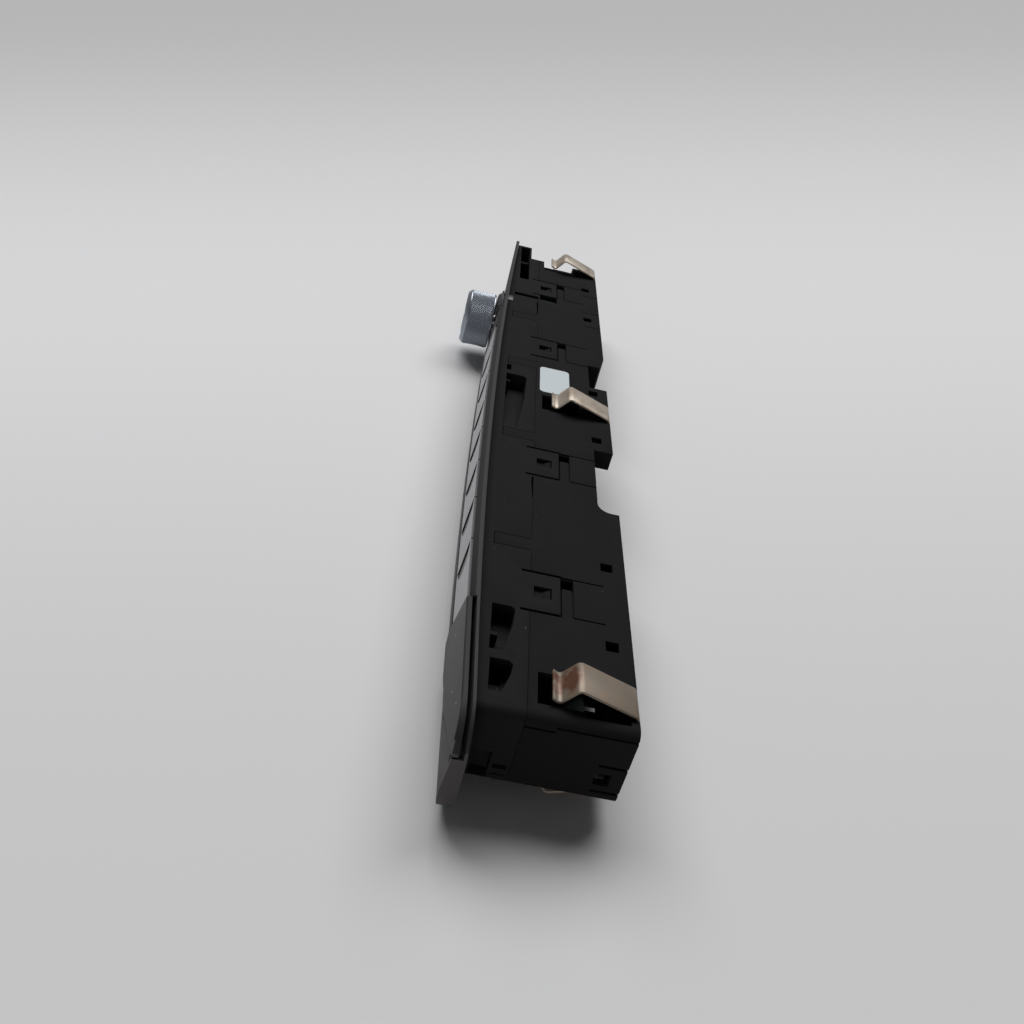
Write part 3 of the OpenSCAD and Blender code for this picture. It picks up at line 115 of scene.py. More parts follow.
class Surface:
    """One material with its shader, and the patterns that feed it."""

    def __init__(self, name: str) -> None:
        """Starts a material whose patterns lie on Object coordinates.

        Args:
            name: The material's name.
        """
        self.material = bpy.data.materials.new(name)
        self.material.use_nodes = True
        self.nodes = self.material.node_tree.nodes
        self.links = self.material.node_tree.links
        self.shader = self.nodes["Principled BSDF"]
        self.place = self.nodes.new("ShaderNodeTexCoord").outputs["Object"]

    def set_values(self, values: dict[str, object]) -> None:
        """Sets the shader's inputs, each under its own name."""
        for name, value in values.items():
            self.shader.inputs[name].default_value = value

    def noise(self, size_mm: float, detail: float = 3.0) -> bpy.types.NodeSocket:
        """Adds a noise pattern.

        Args:
            size_mm: About how wide a grain of it is, in millimetres.
            detail: How many finer layers it has.

        Returns:
            The socket of its level, 0 to 1.
        """
        noise = self.nodes.new("ShaderNodeTexNoise")
        noise.inputs["Scale"].default_value = 1 / (size_mm * MM)
        noise.inputs["Detail"].default_value = detail
        self.links.new(self.place, noise.inputs["Vector"])
        return noise.outputs["Fac"]

    def above(self, level: bpy.types.NodeSocket, low: float, high: float) -> bpy.types.NodeSocket:
        """Keeps what lies above a level.

        Args:
            level: The pattern's socket.
            low: Level at which it starts to count.
            high: Level from which on it counts fully.

        Returns:
            The socket of the resulting share, 0 to 1.
        """
        keep = self.nodes.new("ShaderNodeMapRange")
        keep.inputs["From Min"].default_value = low
        keep.inputs["From Max"].default_value = high
        self.links.new(level, keep.inputs["Value"])
        return keep.outputs["Result"]

    def patches(self, kind: Patches) -> bpy.types.NodeSocket:
        """Adds a noise pattern and keeps its upper levels."""
        return self.above(self.noise(kind.size_mm, kind.detail), kind.low, kind.high)

    def product(self, first: bpy.types.NodeSocket,
                second: bpy.types.NodeSocket | float) -> bpy.types.NodeSocket:
        """Multiplies a pattern by another one or by a number.

        Args:
            first: The pattern's socket.
            second: The other pattern's socket, or the number.

        Returns:
            The product's socket.
        """
        both = self.nodes.new("ShaderNodeMath")
        both.operation = "MULTIPLY"
        self.links.new(first, both.inputs[0])
        if isinstance(second, float):
            both.inputs[1].default_value = second
        else:
            self.links.new(second, both.inputs[1])
        return both.outputs[0]

    def distance(self, middle_mm: Point) -> bpy.types.NodeSocket:
        """Measures the distance from one place of the part.

        Args:
            middle_mm: That place, in millimetres.

        Returns:
            The socket of the distance in metres.
        """
        away = self.nodes.new("ShaderNodeVectorMath")
        away.operation = "DISTANCE"
        away.inputs[1].default_value = [value * MM for value in middle_mm]
        self.links.new(self.place, away.inputs[0])
        return away.outputs["Value"]

    def vary_roughness(self, middle: float, spread: float) -> None:
        """Lets the shine vary a little over the surface.

        Args:
            middle: The roughness that it varies about.
            spread: How far it goes to either side.
        """
        span = self.nodes.new("ShaderNodeMapRange")
        span.inputs["To Min"].default_value = middle - spread
        span.inputs["To Max"].default_value = middle + spread
        self.links.new(self.noise(SHINE_MM), span.inputs["Value"])
        self.links.new(span.outputs["Result"], self.shader.inputs["Roughness"])

    def raise_grain(self, size_mm: float, depth_mm: float) -> None:
        """Adds the moulded or painted grain as a fine relief.

        Args:
            size_mm: Width of a grain in millimetres.
            depth_mm: Its depth in millimetres.
        """
        bump = self.nodes.new("ShaderNodeBump")
        bump.inputs["Strength"].default_value = GRAIN_STRENGTH
        bump.inputs["Distance"].default_value = depth_mm * MM
        self.links.new(self.noise(size_mm), bump.inputs["Height"])
        self.links.new(bump.outputs["Normal"], self.shader.inputs["Normal"])

    def blend_colour(self, amount: bpy.types.NodeSocket, other: Colour) -> None:
        """Mixes another colour into the one that the shader has so far.

        Args:
            amount: The socket that says how much of it, 0 to 1.
            other: The other colour.
        """
        base = self.shader.inputs["Base Color"]
        mix = self.nodes.new("ShaderNodeMix")
        mix.data_type = "RGBA"
        mix.inputs["A"].default_value = base.default_value
        for link in base.links:
            self.links.new(link.from_socket, mix.inputs["A"])
        mix.inputs["B"].default_value = linear(*other)
        self.links.new(amount, mix.inputs["Factor"])
        self.links.new(mix.outputs["Result"], base)


class Wear(Enum):
    """What lies on a surface or shows in it."""

    CLEAN = "clean"
    DUSTY = "a few pale specks of dust"
    TARNISHED = "brown clouds in the plating"


@dataclass(frozen=True)
class Finish:
    """A paint, plastic or plating, and how its surface feels."""

    name: str
    seen: Colour
    roughness: float
    metallic: float = 0.0
    gloss: float = 0.5
    grain_mm: float = 0.0
    grain_depth_mm: float = 0.0
    mottle: float = 0.0
    coat: float = 0.0
    wear: Wear = Wear.CLEAN
    wear_colour: Colour = (120, 90, 70)
    # A brown stain round one place of the part, with its radius; none at radius 0
    stain_at_mm: Point = (0.0, 0.0, 0.0)
    stain_mm: float = 0.0
    stain_colour: Colour = (92, 58, 42)

    def material(self) -> bpy.types.Material:
        """Makes the finish's material, or returns the one made before.

        Returns:
            A procedural material on Object coordinates.
        """
        own_name = f"{self.name}_finish"
        made = bpy.data.materials.get(own_name)
        if made:
            return made
        surface = Surface(own_name)
        surface.set_values({"Base Color": linear(*self.seen), "Roughness": self.roughness,
                            "Metallic": self.metallic, "Specular IOR Level": self.gloss,
                            "Coat Weight": self.coat, "Coat Roughness": COAT_ROUGHNESS})
        if self.grain_mm:
            surface.raise_grain(self.grain_mm, self.grain_depth_mm)
        if self.mottle:
            surface.vary_roughness(self.roughness, self.mottle)
        if self.wear is Wear.DUSTY:
            dust = surface.product(surface.patches(DUST_SPECKS), surface.patches(DUST_FIELDS))
            surface.blend_colour(surface.product(dust, DUST_STRENGTH), self.wear_colour)
        if self.wear is Wear.TARNISHED:
            surface.blend_colour(surface.patches(TARNISH_CLOUDS), self.wear_colour)
        if self.stain_mm:
            self.add_stain(surface)
        return surface.material

    def add_stain(self, surface: Surface) -> None:
        """Lays one ragged brown stain round the finish's own place.

        Args:
            surface: The material that gets it.
        """
        radius = self.stain_mm * MM
        within = surface.above(surface.distance(self.stain_at_mm), radius, STAIN_CORE * radius)
        ragged = surface.product(within, surface.noise(STAIN_RIM.size_mm, STAIN_RIM.detail))
        surface.blend_colour(surface.above(ragged, STAIN_RIM.low, STAIN_RIM.high), self.stain_colour)


HOUSING_BLACK = Finish("housing_black", (26, 26, 27), 0.7, gloss=0.03, grain_mm=0.35, grain_depth_mm=0.02,
                       mottle=0.05, wear=Wear.DUSTY, wear_colour=(150, 148, 142))
CARRIER_BLACK = Finish("carrier_black", (29, 29, 30), 0.7, gloss=0.03, grain_mm=0.35, grain_depth_mm=0.02,
                       mottle=0.05, wear=Wear.DUSTY, wear_colour=(150, 148, 142))
FASCIA_GREY = Finish("fascia_grey", (63, 60, 59), 0.55, gloss=0.25, grain_mm=0.25, grain_depth_mm=0.01,
                     mottle=0.04)
# Painted shadow: the frame round the keys is dark to stand for the shadow in the gap between keys and
# fascia
RIM_PAINTED_SHADOW = Finish("rim_dark", (45, 44, 44), 0.5, gloss=0.2, grain_mm=0.25, grain_depth_mm=0.008)
KEY_SILVER = Finish("key_silver", (164, 164, 166), 0.5, metallic=0.2, grain_mm=0.15, grain_depth_mm=0.006)
# Painted shade: the darker grey on the upward faces of the fascia and the rocker
EDGE_PAINTED_SHADE = Finish("edge_grey", (42, 41, 41), 0.6, gloss=0.15, grain_mm=0.25, grain_depth_mm=0.008)
# Painted shade: the darker silver on the keys' upward faces
KEY_TOP_PAINTED_SHADE = Finish("key_top", (92, 92, 94), 0.55, gloss=0.2, grain_mm=0.15, grain_depth_mm=0.006)
# Painted shade: the darker grey on the floor of each key's hollow, where shade falls in the recess
KEY_HOLLOW_PAINTED_SHADE = Finish("key_hollow", (100, 99, 100), 0.5, gloss=0.25, grain_mm=0.25, grain_depth_mm=0.008)
# Painted shade: the near-black on the keys' sides, standing for the shadow in the gaps between them
KEY_GAP_PAINTED_SHADE = Finish("key_edge", (30, 30, 31), 0.6, gloss=0.1)
KNOB_SILVER = Finish("knob_silver", (150, 156, 165), 0.36, metallic=0.75, grain_mm=0.2, grain_depth_mm=0.01)
BLACK_SATIN = Finish("black_satin", (24, 24, 26), 0.4, grain_mm=0.3, grain_depth_mm=0.008)
SPRING_NICKEL = Finish("spring_nickel", (170, 159, 146), 0.42, metallic=0.4, grain_mm=0.5,
                       grain_depth_mm=0.01, wear=Wear.TARNISHED, wear_colour=(132, 116, 100))
SPRING_STAINED = Finish("spring_stained", (116, 106, 94), 0.45, metallic=0.35, grain_mm=0.5,
                        grain_depth_mm=0.01, wear=Wear.TARNISHED, wear_colour=(126, 108, 90),
                        stain_at_mm=(134.6, 8.4, 30.6), stain_mm=7.5)
PLAIN_STEEL = Finish("plain_steel", (190, 190, 192), 0.35, metallic=1.0)
BOARD_GREEN = Finish("board_green", (20, 56, 38), 0.4, coat=0.3)
CONTACT_GOLD = Finish("contact_gold", (222, 190, 118), 0.25, metallic=1.0)
MAT_RUBBER = Finish("mat_rubber", (214, 213, 206), 0.7, grain_mm=0.6, grain_depth_mm=0.01)
WHITE_PLASTIC = Finish("white_plastic", (228, 226, 220), 0.45)
LABEL_PAPER = Finish("label_paper", (176, 185, 189), 0.55, grain_mm=0.2, grain_depth_mm=0.004)
MARK_PALE = Finish("mark_pale", (150, 146, 142), 0.5)


# Modelling by operators

# Corners of a copied node that lie closer than this are one, and so are those of a turned piece
WELD_MM = 0.002
TURNED_WELD_MM = 0.005
# Largest angle between two faces of a copied node that are one flat face
FLAT_DEGREES = 0.2


class Elements(Enum):
    """What a selection is made of, with the select mode that goes with it."""

    FACES = "FACE"
    EDGES = "EDGE"


def deselect_everything() -> None:
    """Leaves nothing selected, so that an operator acts on the new piece alone."""
    for other in bpy.context.selected_objects:
        other.select_set(False)


def only(piece: bpy.types.Object) -> None:
    """Selects one object alone and makes it the active one.

    Args:
        piece: The object.
    """
    deselect_everything()
    piece.select_set(True)
    bpy.context.view_layer.objects.active = piece


def in_edit_mode(piece: bpy.types.Object, work: Callable[[], None]) -> None:
    """Runs work in edit mode with the whole of the piece selected.

    Args:
        piece: The mesh object to edit.
        work: What to do there.
    """
    only(piece)
    bpy.ops.object.mode_set(mode="EDIT")
    bpy.ops.mesh.select_mode(type="VERT")
    bpy.ops.mesh.select_all(action="SELECT")
    work()
    bpy.ops.object.mode_set(mode="OBJECT")


def pick(piece: bpy.types.Object, kind: Elements, wanted: Callable[[object], bool]) -> int:
    """Selects the piece's faces or edges that are wanted, in edit mode.

    Args:
        piece: The mesh object, in edit mode.
        kind: Whether faces or edges are selected.
        wanted: Says of one element whether it is selected.

    Returns:
        How many elements are selected.
    """
    bpy.ops.mesh.select_mode(type=kind.value)
    bpy.ops.mesh.select_all(action="DESELECT")
    mesh = bmesh.from_edit_mesh(piece.data)
    elements = mesh.faces if kind is Elements.FACES else mesh.edges
    chosen = [element for element in elements if wanted(element)]
    for element in chosen:
        element.select_set(True)
    mesh.select_flush_mode()
    bmesh.update_edit_mesh(piece.data)
    return len(chosen)


def round_edges(piece: bpy.types.Object, width_mm: float, steps: int = 2, sharper_than: float = 30) -> None:
    """Rounds the sharp edges of a piece.

    Args:
        piece: The mesh object.
        width_mm: Width of the rounding in millimetres.
        steps: Number of faces across the rounding.
        sharper_than: Smallest angle, in degrees, of an edge that is rounded.
    """
    only(piece)
    bevel = piece.modifiers.new("rounding", "BEVEL")
    bevel.width = width_mm * MM
    bevel.segments = steps
    bevel.limit_method = "ANGLE"
    bevel.angle_limit = math.radians(sharper_than)
    bevel.use_clamp_overlap = True
    bpy.ops.object.modifier_apply(modifier=bevel.name)


def smooth(piece: bpy.types.Object, angle: float = 40) -> None:
    """Shades the piece smooth, apart from edges sharper than angle degrees."""
    only(piece)
    bpy.ops.object.shade_smooth_by_angle(angle=math.radians(angle))


def settle(piece: bpy.types.Object) -> None:
    """Puts the piece's place into its mesh, so that its object sits at the origin."""
    only(piece)
    bpy.ops.object.transform_apply(location=True, rotation=True, scale=True)


def dress(piece: bpy.types.Object, name: str, finish: Finish, body: str = "root",
          stands_for: Sequence[str] = ()) -> bpy.types.Object:
    """Names a finished piece, gives it its finish and lets it ride on its body.

    Args:
        piece: The mesh object.
        name: Its name in the visual model.
        finish: Its finish.
        body: The body that it moves with.
        stands_for: The nodes that it is shown in place of.

    Returns:
        The same object.
    """
    piece.name = name
    piece.data.name = name
    piece.data.materials.clear()
    piece.data.materials.append(finish.material())
    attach(piece, body)
    if stands_for:
        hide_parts(*stands_for)
    log.info("%s: %d faces on %s", name, len(piece.data.polygons), body)
    return piece


def paint_where(piece: bpy.types.Object, finish: Finish, wanted: Callable[[Face], bool]) -> None:
    """Gives the faces that are wanted their own finish.

    Args:
        piece: The mesh object, already dressed.
        finish: The finish of those faces.
        wanted: Says of one face whether it gets that finish.
    """
    piece.data.materials.append(finish.material())
    own_index = len(piece.data.materials) - 1
    for face in piece.data.polygons:
        if wanted(face):
            face.material_index = own_index


def copy_of_node(node: str) -> bpy.types.Object:
    """Copies a node's mesh as a new piece, with its loose triangles merged into faces.

    Args:
        node: The node's name.

    Returns:
        The new mesh object, at the origin.
    """
    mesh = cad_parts[node].data.copy()
    piece = bpy.data.objects.new(f"{node}_copy", mesh)
    bpy.context.scene.collection.objects.link(piece)
    mesh.materials.clear()

    def merge() -> None:
        """Joins the triangles and clears the lines across flat faces."""
        bpy.ops.mesh.remove_doubles(threshold=WELD_MM * MM)
        bpy.ops.mesh.dissolve_limited(angle_limit=math.radians(FLAT_DEGREES))

    in_edit_mode(piece, merge)
    return piece


def chain(points: Iterable[Vector]) -> bpy.types.Object:
    """Draws a line of edges through points, by extruding one vertex.

    Args:
        points: The points, in metres.

    Returns:
        A mesh object that holds the line alone.
    """
    places = [Vector(point) for point in points]
    deselect_everything()
    bpy.ops.mesh.primitive_plane_add(size=MM, location=places[0])
    piece = bpy.context.object

    def draw() -> None:
        """Shrinks the plane to its centre and extrudes it along the line."""
        bpy.ops.mesh.merge(type="CENTER")
        for before, after in zip(places, places[1:]):
            bpy.ops.mesh.extrude_vertices_move(TRANSFORM_OT_translate={"value": after - before})

    in_edit_mode(piece, draw)
    settle(piece)
    return piece


def turned(profile: Sequence[tuple[float, float]], centre: Vector, steps: int) -> bpy.types.Object:
    """Spins a profile about an axis that runs along Y.

    Args:
        profile: The profile as pairs of radius and depth, in millimetres.
        centre: A point of the axis at depth 0, in metres.
        steps: Number of faces round the axis.

    Returns:
        The turned mesh object.
    """
    piece = chain(centre + Vector((radius, depth, 0)) * MM for radius, depth in profile)

    def spin() -> None:
        """Turns the profile once round and closes it."""
        bpy.ops.mesh.spin(steps=steps, angle=2 * math.pi, center=centre, axis=(0, 1, 0))
        bpy.ops.mesh.select_all(action="SELECT")
        bpy.ops.mesh.remove_doubles(threshold=TURNED_WELD_MM * MM)
        bpy.ops.mesh.normals_make_consistent(inside=False)

    in_edit_mode(piece, spin)
    return piece


# The panel's own pieces


@dataclass
class Shells:
    """The front carrier and the rear cover, with the moulded edges rounded."""

    edge_mm: float = 0.18

    def build(self) -> None:
        """Makes the two shells."""
        for node, name, finish in (("front_carrier", "carrier_shell", CARRIER_BLACK),
                                   ("rear_cover", "cover_shell", HOUSING_BLACK)):
            shell = copy_of_node(node)
            round_edges(shell, self.edge_mm)
            smooth(shell)
            dress(shell, name, finish, stands_for=[node])


@dataclass
class Fascia:
    """The bowed fascia with painted shade on its upper edge, and the frame sunk between it and the keys,
    dark as a painted shadow in that gap.
    """

    edge_mm: float = 0.35
    edge_steps: int = 3
    rim_edge_mm: float = 0.2
    # Least share of a face's normal that points up, on the upper edge that gets painted shade
    painted_shade_rise: float = 0.35

    def build(self) -> None:
        """Makes the fascia and the frame."""
        fascia = copy_of_node("fascia")
        round_edges(fascia, self.edge_mm, self.edge_steps)
        smooth(fascia)
        dress(fascia, "fascia_bezel", FASCIA_GREY, stands_for=["fascia"])
        # Painted shade: the fascia's upward faces get a darker grey
        paint_where(fascia, EDGE_PAINTED_SHADE, lambda face: face.normal.z > self.painted_shade_rise)
        rim = copy_of_node("key_frame")
        round_edges(rim, self.rim_edge_mm)
        smooth(rim)
        # The frame's dark finish is a painted shadow in the gap round the keys
        dress(rim, "key_rim", RIM_PAINTED_SHADOW, stands_for=["key_frame"])


@dataclass
class Keys:
    """The row of push keys, with a leaf-shaped hollow where two of them meet."""

    count: int = 8
    edge_mm: float = 0.15
    # Angle, in degrees, from which on an edge stays crisp
    crisp: float = 20.0
    # Normals whose Y lies below these face the front at all, or squarely; faces that don't face the front
    # at all get painted shade
    front_half: float = -0.4
    front_square: float = -0.9
    # How far a hollow's floor turns away from the key's front, as a share of its normal
    slant: float = 0.02
    # How far that floor is raised at the key's left edge, in degrees about the hollow's far end
    raised: float = 2.4
    hollow_mm: float = 6.0
    # Least share of a face's normal that points up, on the cap's upper edge that gets painted shade
    painted_shade_rise: float = 0.35

    def build(self) -> None:
        """Makes the keys, silver in front, with painted shade on their tops, on their hollows' floors and
        in their gaps.
        """
        for number in range(1, self.count + 1):
            node = f"key_{number}"
            key = copy_of_node(node)
            self.raise_floor(key)
            round_edges(key, self.edge_mm)
            smooth(key, self.crisp)
            dress(key, f"key_cap_{number}", KEY_SILVER, body=node, stands_for=[node])
            self.paint(key)

    def floor_test(self, faces: Iterable[Face], area: Callable[[Face], float]) -> Callable[[Face], bool]:
        """Makes a test that tells the hollow's floor by its slant against the key's front.

        Args:
            faces: The key's faces.
            area: Gives a face's area.

        Returns:
            The test of one face.
        """
        square = [face for face in faces if face.normal.y < self.front_square]
        floor_limit = max(square, key=area).normal.x - self.slant
        return lambda face: face.normal.y < self.front_square and face.normal.x < floor_limit

    def raise_floor(self, key: bpy.types.Object) -> None:
        """Turns the hollow's floor a little towards the key's front, about its far end.

        Args:
            key: The key's piece.
        """
        left = min(corner[0] for corner in key.bound_box)
        hinge = Vector((left + self.hollow_mm * MM, key.bound_box[0][1], 0))

        def turn() -> None:
            """Picks the floor, if the key has one, and turns it."""
            faces = bmesh.from_edit_mesh(key.data).faces
            is_floor = self.floor_test(faces, lambda face: face.calc_area())
            if pick(key, Elements.FACES, is_floor):
                bpy.ops.transform.rotate(value=-math.radians(self.raised), orient_axis="Z",
                                         center_override=hinge)

        in_edit_mode(key, turn)

    def paint(self, key: bpy.types.Object) -> None:
        """Paints shade onto the cap's top, the floor of its hollow and its sides, each in its own darker
        finish.

        Args:
            key: The key's piece, already dressed.
        """
        is_floor = self.floor_test(key.data.polygons, lambda face: face.area)
        # Painted shade on the cap's upward faces
        paint_where(key, KEY_TOP_PAINTED_SHADE, lambda face: face.normal.z > self.painted_shade_rise)
        # Painted shade on the hollow's floor
        paint_where(key, KEY_HOLLOW_PAINTED_SHADE, is_floor)
        # Painted shade on the sides, for the shadow in the gaps between keys
        paint_where(key, KEY_GAP_PAINTED_SHADE, lambda face: not is_floor(face) and face.normal.y > self.front_half
                    and face.normal.z < self.painted_shade_rise)


@dataclass
class Rocker:
    """The rocker that makes the panel's near upper corner, with painted shade on its upper edge, and its
    three pale marks.
    """

    edge_mm: float = 0.3
    edge_steps: int = 3
    # Least share of a face's normal that points up, on the upper edge that gets painted shade
    painted_shade_rise: float = 0.35
    mark_r_mm: float = 0.32
    mark_t_mm: float = 0.05
    mark_sides: int = 24
    # Places of the marks from the rocker's left end and its foot
    mark_places_mm: tuple[tuple[float, float], ...] = ((10.0, 16.7), (29.8, 17.0), (37.2, 20.9))
    # How far in front of the rocker the search for a mark's place starts
    search_mm: float = 10.0

    def build(self) -> None:
        """Makes the rocker and its marks."""
        rocker = copy_of_node("rocker")
        round_edges(rocker, self.edge_mm, self.edge_steps)
        smooth(rocker)
        dress(rocker, "rocker_bar", FASCIA_GREY, body="rocker", stands_for=["rocker"])
        # Painted shade: the rocker's upward faces get a darker grey
        paint_where(rocker, EDGE_PAINTED_SHADE, lambda face: face.normal.z > self.painted_shade_rise)
        for number, place in enumerate(self.mark_places_mm, start=1):
            self.mark(rocker, number, *place)

    def mark(self, rocker: bpy.types.Object, number: int, across_mm: float, up_mm: float) -> None:
        """Sets one flat round mark on the rocker's front.

        Args:
            rocker: The rocker's piece.
            number: Number of the mark.
            across_mm: Its distance from the rocker's left end.
            up_mm: Its height over the rocker's foot.
        """
        corner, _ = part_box("rocker")
        start = corner + Vector((across_mm, -self.search_mm, up_mm)) * MM
        found, spot, normal, _ = rocker.ray_cast(start, Vector((0, 1, 0)))
        if not found:
            raise ValueError(f"mark {number} misses the rocker")
        deselect_everything()
        bpy.ops.mesh.primitive_cylinder_add(
            vertices=self.mark_sides, radius=self.mark_r_mm * MM, depth=self.mark_t_mm * MM,
            location=spot, rotation=normal.to_track_quat("Z", "Y").to_euler())
        mark = bpy.context.object
        settle(mark)
        smooth(mark)
        dress(mark, f"rocker_mark_{number}", MARK_PALE, body="rocker")


@dataclass
class Knob:
    """The push-and-turn knob: a knurled sleeve, its cap and the ring behind it."""

    radius_mm: float = 11.0
    bore_mm: float = 9.1
    # The turned front: where its flat face, its lip and its shoulder lie inside the radius
    face_in_mm: float = 1.6
    lip_in_mm: float = 1.3
    lip_mm: float = 0.15
    shoulder_in_mm: float = 0.25
    shoulder_mm: float = 0.35
    # The turned rear, likewise
    tail_in_mm: float = 0.35
    tail_mm: float = 0.2
    heel_in_mm: float = 0.6
    # The grip: what lies before and behind it, its waist, and its knurl
    rim_mm: float = 1.7
    skirt_mm: float = 0.6
    waist_mm: float = 0.25
    knurls: int = 64
    rows: int = 10
    knurl_mm: float = 0.3
    # Share of the knurl's depth by which a diamond's point stands out
    point_share: float = 0.8
    # Angle, in degrees, from which on an edge of the knurl stays crisp
    crisp: float = 25.0
    collar_edge_mm: float = 0.25

    def build(self) -> None:
        """Makes the knob's pieces."""
        self.sleeve()
        collar = copy_of_node("knob_ring")
        round_edges(collar, self.collar_edge_mm)
        smooth(collar)
        dress(collar, "knob_collar", BLACK_SATIN, stands_for=["knob_ring"])
        cap = copy_of_node("knob_cap")
        smooth(cap)
        dress(cap, "knob_face", BLACK_SATIN, body="knob", stands_for=["knob_cap"])

    def sleeve(self) -> None:
        """Turns the sleeve and presses the diamond knurl into its grip."""
        low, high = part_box("knob_sleeve")
        centre = (low + high) / 2
        axis = Vector((centre.x, 0, centre.z))
        front, back = low.y / MM, high.y / MM
        grip_front, grip_back = front + self.rim_mm, back - self.skirt_mm
        land = self.radius_mm - self.knurl_mm

        def grip(row: int) -> tuple[float, float]:
            """Places one ring of the grip, drawn in at the waist.

            Args:
                row: The ring's number, from the front.

            Returns:
                Its radius and its depth in millimetres.
            """
            share = row / self.rows
            depth = grip_front + (grip_back - grip_front) * share
            return land - self.waist_mm * math.sin(math.pi * share), depth

        profile = [(self.bore_mm, front), (self.radius_mm - self.face_in_mm, front),
                   (self.radius_mm - self.lip_in_mm, front + self.lip_mm),
                   (self.radius_mm - self.shoulder_in_mm, grip_front - self.shoulder_mm)]
        profile += [grip(row) for row in range(self.rows + 1)]
        profile += [(self.radius_mm - self.tail_in_mm, back - self.tail_mm),
                    (self.radius_mm - self.heel_in_mm, back), (self.bore_mm, back), (self.bore_mm, front)]
        piece = turned(profile, axis, self.knurls)
        # What still counts as on the grip, outside its waist and along the axis
        inside_mm, along_mm = 0.3, 0.01

        def on_grip(point: Vector) -> bool:
            """Tells whether a point lies on the grip.

            Args:
                point: The point, in metres.

            Returns:
                Whether it does.
            """
            radius = math.hypot(point.x - axis.x, point.z - axis.z) / MM
            if radius <= land - self.waist_mm - inside_mm:
                return False
            return grip_front - along_mm < point.y / MM < grip_back + along_mm

        def face_on_grip(face: bmesh.types.BMFace) -> bool:
            """Whether a whole face lies on the grip."""
            return on_grip(face.calc_center_median()) and all(on_grip(corner.co) for corner in face.verts)

        def knurl() -> None:
            """Splits the grip's faces, joins them as diamonds and raises each one."""
            pick(piece, Elements.FACES, face_on_grip)
            bpy.ops.mesh.poke(offset=0)
            pick(piece, Elements.EDGES, self.between_knurls(axis, on_grip))
            bpy.ops.mesh.dissolve_edges(use_verts=False)
            pick(piece, Elements.FACES, lambda face: len(face.verts) <= 4 and face_on_grip(face))
            bpy.ops.mesh.poke(offset=self.knurl_mm * MM * self.point_share)
            bpy.ops.mesh.select_all(action="SELECT")
            bpy.ops.mesh.normals_make_consistent(inside=False)

        in_edit_mode(piece, knurl)
        smooth(piece, self.crisp)
        dress(piece, "knob_grip", KNOB_SILVER, body="knob", stands_for=["knob_sleeve"])

    def between_knurls(self, axis: Vector, on_grip: Callable[[Vector], bool]) -> Callable[[object], bool]:
        """Finds the edges of the first grid, which run along the axis or round it.

        Args:
            axis: A point of the knob's axis.
            on_grip: Says whether a point lies on the grip.

        Returns:
            A test of one edge.
        """
        # An edge that turns or runs less than this lies along the axis or round it
        least_turn = 0.1 * 2 * math.pi / self.knurls
        least_run = 0.01 * MM

        def wanted(edge: bmesh.types.BMEdge) -> bool:
            """Tells whether an edge belongs to the first grid, inside the grip.

            Args:
                edge: The edge, once the faces are split.

            Returns:
                Whether it does.
            """
            if not all(on_grip(end.co) for end in edge.verts) or len(edge.link_faces) != 2:
                return False
            if any(len(face.verts) > 3 for face in edge.link_faces):
                return False
            first, second = (end.co - axis for end in edge.verts)
            turn = abs(math.atan2(first.z, first.x) - math.atan2(second.z, second.x))
            turn = min(turn, 2 * math.pi - turn)
            return turn < least_turn or abs(first.y - second.y) < least_run

        return wanted


@dataclass
class SpringClips:
    """Six bent strips of spring steel, hooked over the rear wall."""

    edge_mm: float = 0.12
    # Angle, in degrees, from which on an edge counts as cut, and not as a bend
    cut_edge: float = 60.0
    places: tuple[str, ...] = ("top_left", "top_middle", "top_right", "bottom_left", "bottom_middle",
                               "bottom_right")
    stained: str = "top_right"

    def build(self) -> None:
        """Makes the six clips."""
        for place in self.places:
            node = f"clip_{place}"
            clip = copy_of_node(node)
            round_edges(clip, self.edge_mm, sharper_than=self.cut_edge)
            smooth(clip)
            finish = SPRING_STAINED if place == self.stained else SPRING_NICKEL
            dress(clip, f"spring_{place}", finish, stands_for=[node])


@dataclass
class Insides:
    """What the shells hold, and the label. These nodes keep their own shapes and get a finish."""

    finishes: dict[str, Finish] = field(default_factory=lambda: {
        "rocker_pin": PLAIN_STEEL, "knob_hub": BLACK_SATIN, "encoder_shaft": PLAIN_STEEL,
        "encoder_plunger": WHITE_PLASTIC, "encoder_body": PLAIN_STEEL, "switch_mat": MAT_RUBBER,
        "key_board": BOARD_GREEN, "main_board": BOARD_GREEN, "board_link": BLACK_SATIN,
        "board_screws": PLAIN_STEEL, "connector_socket": BLACK_SATIN, "connector_pins": CONTACT_GOLD,
        "label": LABEL_PAPER})

    def build(self) -> None:
        """Gives each node its finish."""
        for node, finish in self.finishes.items():
            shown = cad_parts[node]
            for slot in shown.material_slots:
                slot.material = finish.material()
            log.info("%s: finish %s", node, finish.name)


# The studio


@dataclass(frozen=True)
class Lamp:
    """A soft lamp that shines from its place towards the panel."""

    name: str
    strength: float
    spread: float
    place: Point

    def hang(self) -> None:
        """Makes the lamp and turns it to the panel."""
        data = bpy.data.lights.new(self.name, "SUN")
        data.energy = self.strength
        data.angle = math.radians(self.spread)
        lamp = bpy.data.objects.new(self.name, data)
        bpy.context.scene.collection.objects.link(lamp)
        lamp.location = self.place
        lamp.rotation_mode = "QUATERNION"
        lamp.rotation_quaternion = (-Vector(self.place)).to_track_quat("-Z", "Y")


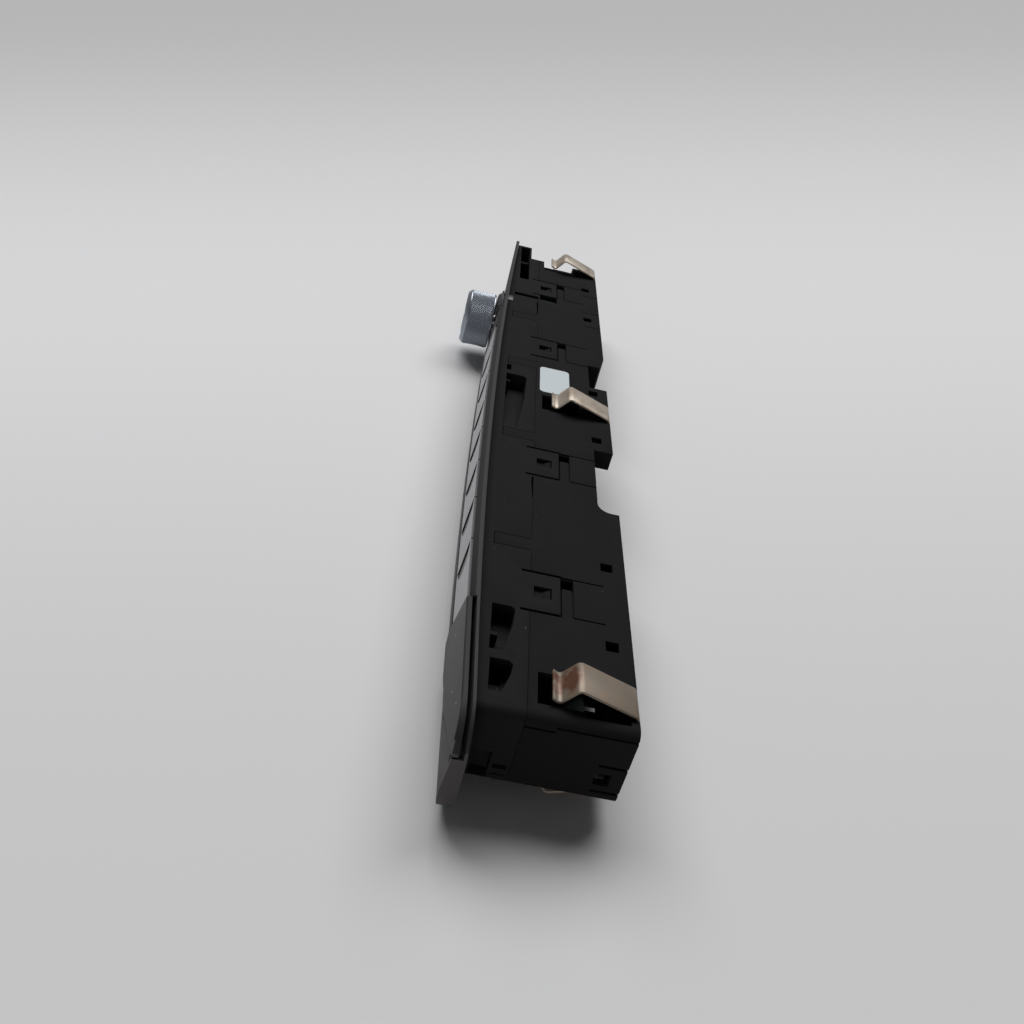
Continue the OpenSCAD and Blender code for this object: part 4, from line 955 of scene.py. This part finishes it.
@dataclass
class Studio:
    """A pale floor under soft light, seen from the photograph's place."""

    floor_half: float = 14.0
    floor_roughness: float = 0.8
    floor_gloss: float = 0.2
    # Painted light: the floor's tones lie like a fan round a point beside the panel, lighter and darker
    # bands standing for the light's fall-off: angle in degrees and grey
    fan_middle: tuple[float, float] = (0.333, -0.803)
    painted_light_tones: tuple[tuple[float, int], ...] = ((100, 196), (122, 213), (153, 178))
    # How much bluer than grey the floor is
    blue_tint: int = 1
    # Even light from all round
    fill: float = 0.07
    fill_colour: Colour = (250, 251, 255)
    lamps: tuple[Lamp, ...] = (
        Lamp("left_lamp", 1.82, spread=38.0, place=(-0.56, -0.36, 0.8)),
        Lamp("right_lamp", 1.82, spread=38.0, place=(-0.6, 0.2, 0.8)),
        Lamp("low_glow", 1.0, spread=20.0, place=(1.0, -0.15, 0.03)))
    # Focal length in pixels of the square picture, that picture's side, and the lens's film width
    focal_pixels: float = 1050.0
    picture_pixels: float = 1024.0
    film_mm: float = 36.0
    nearest: float = 0.01
    farthest: float = 30.0
    eye_mm: Point = (308.62, -32.18, 179.29)
    right: Point = (-0.031, 0.9735, 0.2265)
    down: Point = (0.5386, 0.2072, -0.8167)

    def build(self) -> None:
        """Makes the floor, the light and the camera."""
        self.floor()
        self.light()
        self.camera()

    def floor(self) -> None:
        """Lays the floor with painted light: its grey turns slowly lighter and then darker across the
        picture.
        """
        deselect_everything()
        bpy.ops.mesh.primitive_plane_add(size=2 * self.floor_half, location=(0, 0, 0))
        floor = bpy.context.object
        floor.name = "floor"
        settle(floor)
        surface = Surface("floor_grey")
        surface.set_values({"Roughness": self.floor_roughness, "Specular IOR Level": self.floor_gloss})
        centre = surface.nodes.new("ShaderNodeMapping")
        centre.inputs["Location"].default_value = (-self.fan_middle[0], -self.fan_middle[1], 0)
        surface.links.new(surface.place, centre.inputs["Vector"])
        fan = surface.nodes.new("ShaderNodeTexGradient")
        fan.gradient_type = "RADIAL"
        surface.links.new(centre.outputs["Vector"], fan.inputs["Vector"])
        # Painted light: the ramp makes the floor lighter and darker by angle round the fan's middle
        tones = surface.nodes.new("ShaderNodeValToRGB")
        tones.color_ramp.interpolation = "EASE"
        while len(tones.color_ramp.elements) < len(self.painted_light_tones):
            tones.color_ramp.elements.new(0.5)
        for stop, (angle, grey) in zip(tones.color_ramp.elements, self.painted_light_tones):
            # The gradient runs from -180 to 180 degrees
            stop.position = 0.5 + angle / 360
            stop.color = linear(grey, grey, grey + self.blue_tint)
        surface.links.new(fan.outputs["Fac"], tones.inputs["Fac"])
        surface.links.new(tones.outputs["Color"], surface.shader.inputs["Base Color"])
        floor.data.materials.append(surface.material)

    def light(self) -> None:
        """Sets the even fill of the room, the two soft lamps and a faint glow along the panel."""
        world = bpy.data.worlds.new("room")
        world.use_nodes = True
        background = world.node_tree.nodes["Background"]
        background.inputs["Color"].default_value = linear(*self.fill_colour)
        background.inputs["Strength"].default_value = self.fill
        bpy.context.scene.world = world
        for lamp in self.lamps:
            lamp.hang()

    def camera(self) -> None:
        """Stands the camera where the photograph was taken from."""
        data = bpy.data.cameras.new("photo_camera")
        data.sensor_width = self.film_mm
        data.lens = self.focal_pixels / self.picture_pixels * self.film_mm
        data.clip_start, data.clip_end = self.nearest, self.farthest
        camera = bpy.data.objects.new("photo_camera", data)
        bpy.context.scene.collection.objects.link(camera)
        right = Vector(self.right).normalized()
        up = -Vector(self.down)
        back = right.cross(up).normalized()
        up = back.cross(right)
        turn = Matrix((right, up, back)).transposed().to_4x4()
        camera.matrix_world = Matrix.Translation(Vector(self.eye_mm) * MM) @ turn
        bpy.context.scene.camera = camera


def main() -> None:
    """Builds the panel's pieces and then the studio round them."""
    bpy.context.scene.view_settings.view_transform = "Standard"
    for part in (Shells(), Fascia(), Keys(), Rocker(), Knob(), SpringClips(), Insides(), Studio()):
        part.build()
        log.info("%s done", type(part).__name__)


if __name__ == "__main__":
    main()
